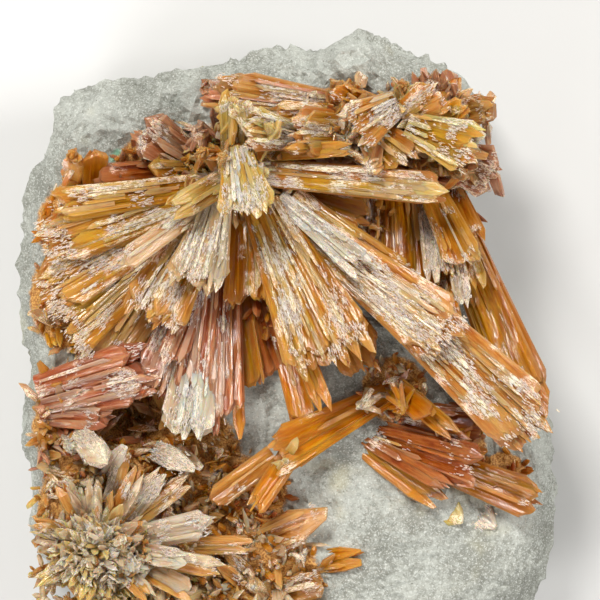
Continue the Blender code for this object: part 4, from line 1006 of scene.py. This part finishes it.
def build_crystals():
    material = creedite_material()
    build_crust(material)
    for node, rows in SPRAYS.items():
        heap, dice = Heap(), random.Random(node)
        for sheaf in (Sheaf(*row) for row in rows):
            if lines_of(sheaf)[2].z > UPRIGHT:
                add_upright(heap, sheaf, dice)
                continue
            add_sheaf(heap, sheaf, dice)
            add_steps(heap, sheaf, dice)
            add_flakes(heap, sheaf, dice)
        for row in BURSTS.get(node, []):
            add_burst(heap, Burst(*row), dice)
        for row in CLUMPS.get(node, []):
            add_clump(heap, Clump(*row), dice)
        piece = heap.to_object(f"{node}_crystals", material)
        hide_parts(node)
        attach(piece, "root")


FLOOR_GAP = 0.0001
LAMPS_AIM = (0, 0, 0.015)
# Each lamp's name, place, side in metres, power and colour
LAMPS = (
    ("key", (-0.14, 0.30, 0.44), 0.16, 2.8, (1.0, 0.98, 0.95)),
    ("side", (0.40, 0.10, 0.34), 0.20, 1.8, (1.0, 0.98, 0.96)),
    ("low", (-0.30, -0.34, 0.30), 0.24, 1.7, (1.0, 0.98, 0.97)),
)


def build_floor():
    bpy.ops.mesh.primitive_plane_add(size=2.0, location=(0, 0, -FLOOR_GAP))
    floor = bpy.context.object
    floor.name = "floor"
    n = Nodes("floor")
    n.shade({"Base Color": (0.58, 0.58, 0.57, 1), "Roughness": 0.7})
    floor.data.materials.append(n.material)


def add_softbox(name, place, side, power, colour):
    light = bpy.data.lights.new(name, "AREA")
    light.shape = "RECTANGLE"
    light.size = light.size_y = side
    light.energy = power
    light.color = colour
    lamp = bpy.data.objects.new(name, light)
    lamp.location = place
    lamp.rotation_euler = (Vector(LAMPS_AIM) - Vector(place)).to_track_quat("-Z", "Y").to_euler()
    bpy.context.scene.collection.objects.link(lamp)


def light_scene():
    for lamp in LAMPS:
        add_softbox(*lamp)
    world = bpy.data.worlds.new("studio")
    world.use_nodes = True
    background = world.node_tree.nodes["Background"]
    background.inputs["Color"].default_value = (0.98, 0.97, 0.96, 1)
    background.inputs["Strength"].default_value = 0.36
    bpy.context.scene.world = world


def add_camera():
    """Straight above the specimen, as the photo shows it, from far enough to flatten perspective."""
    height, crystal_level = 0.62, 0.018
    lens = bpy.data.cameras.new("camera")
    lens.sensor_width = 36
    lens.lens = 36 * (height - crystal_level) / (PHOTO_WIDTH * MM)
    lens.clip_start = 0.05
    camera = bpy.data.objects.new("camera", lens)
    camera.location = (-MIDDLE_X * MM, -MIDDLE_Y * MM, height)
    bpy.context.scene.collection.objects.link(camera)
    bpy.context.scene.camera = camera


build_rock()
build_crystals()
build_floor()
light_scene()
add_camera()
bpy.context.scene.view_settings.view_transform = "Standard"
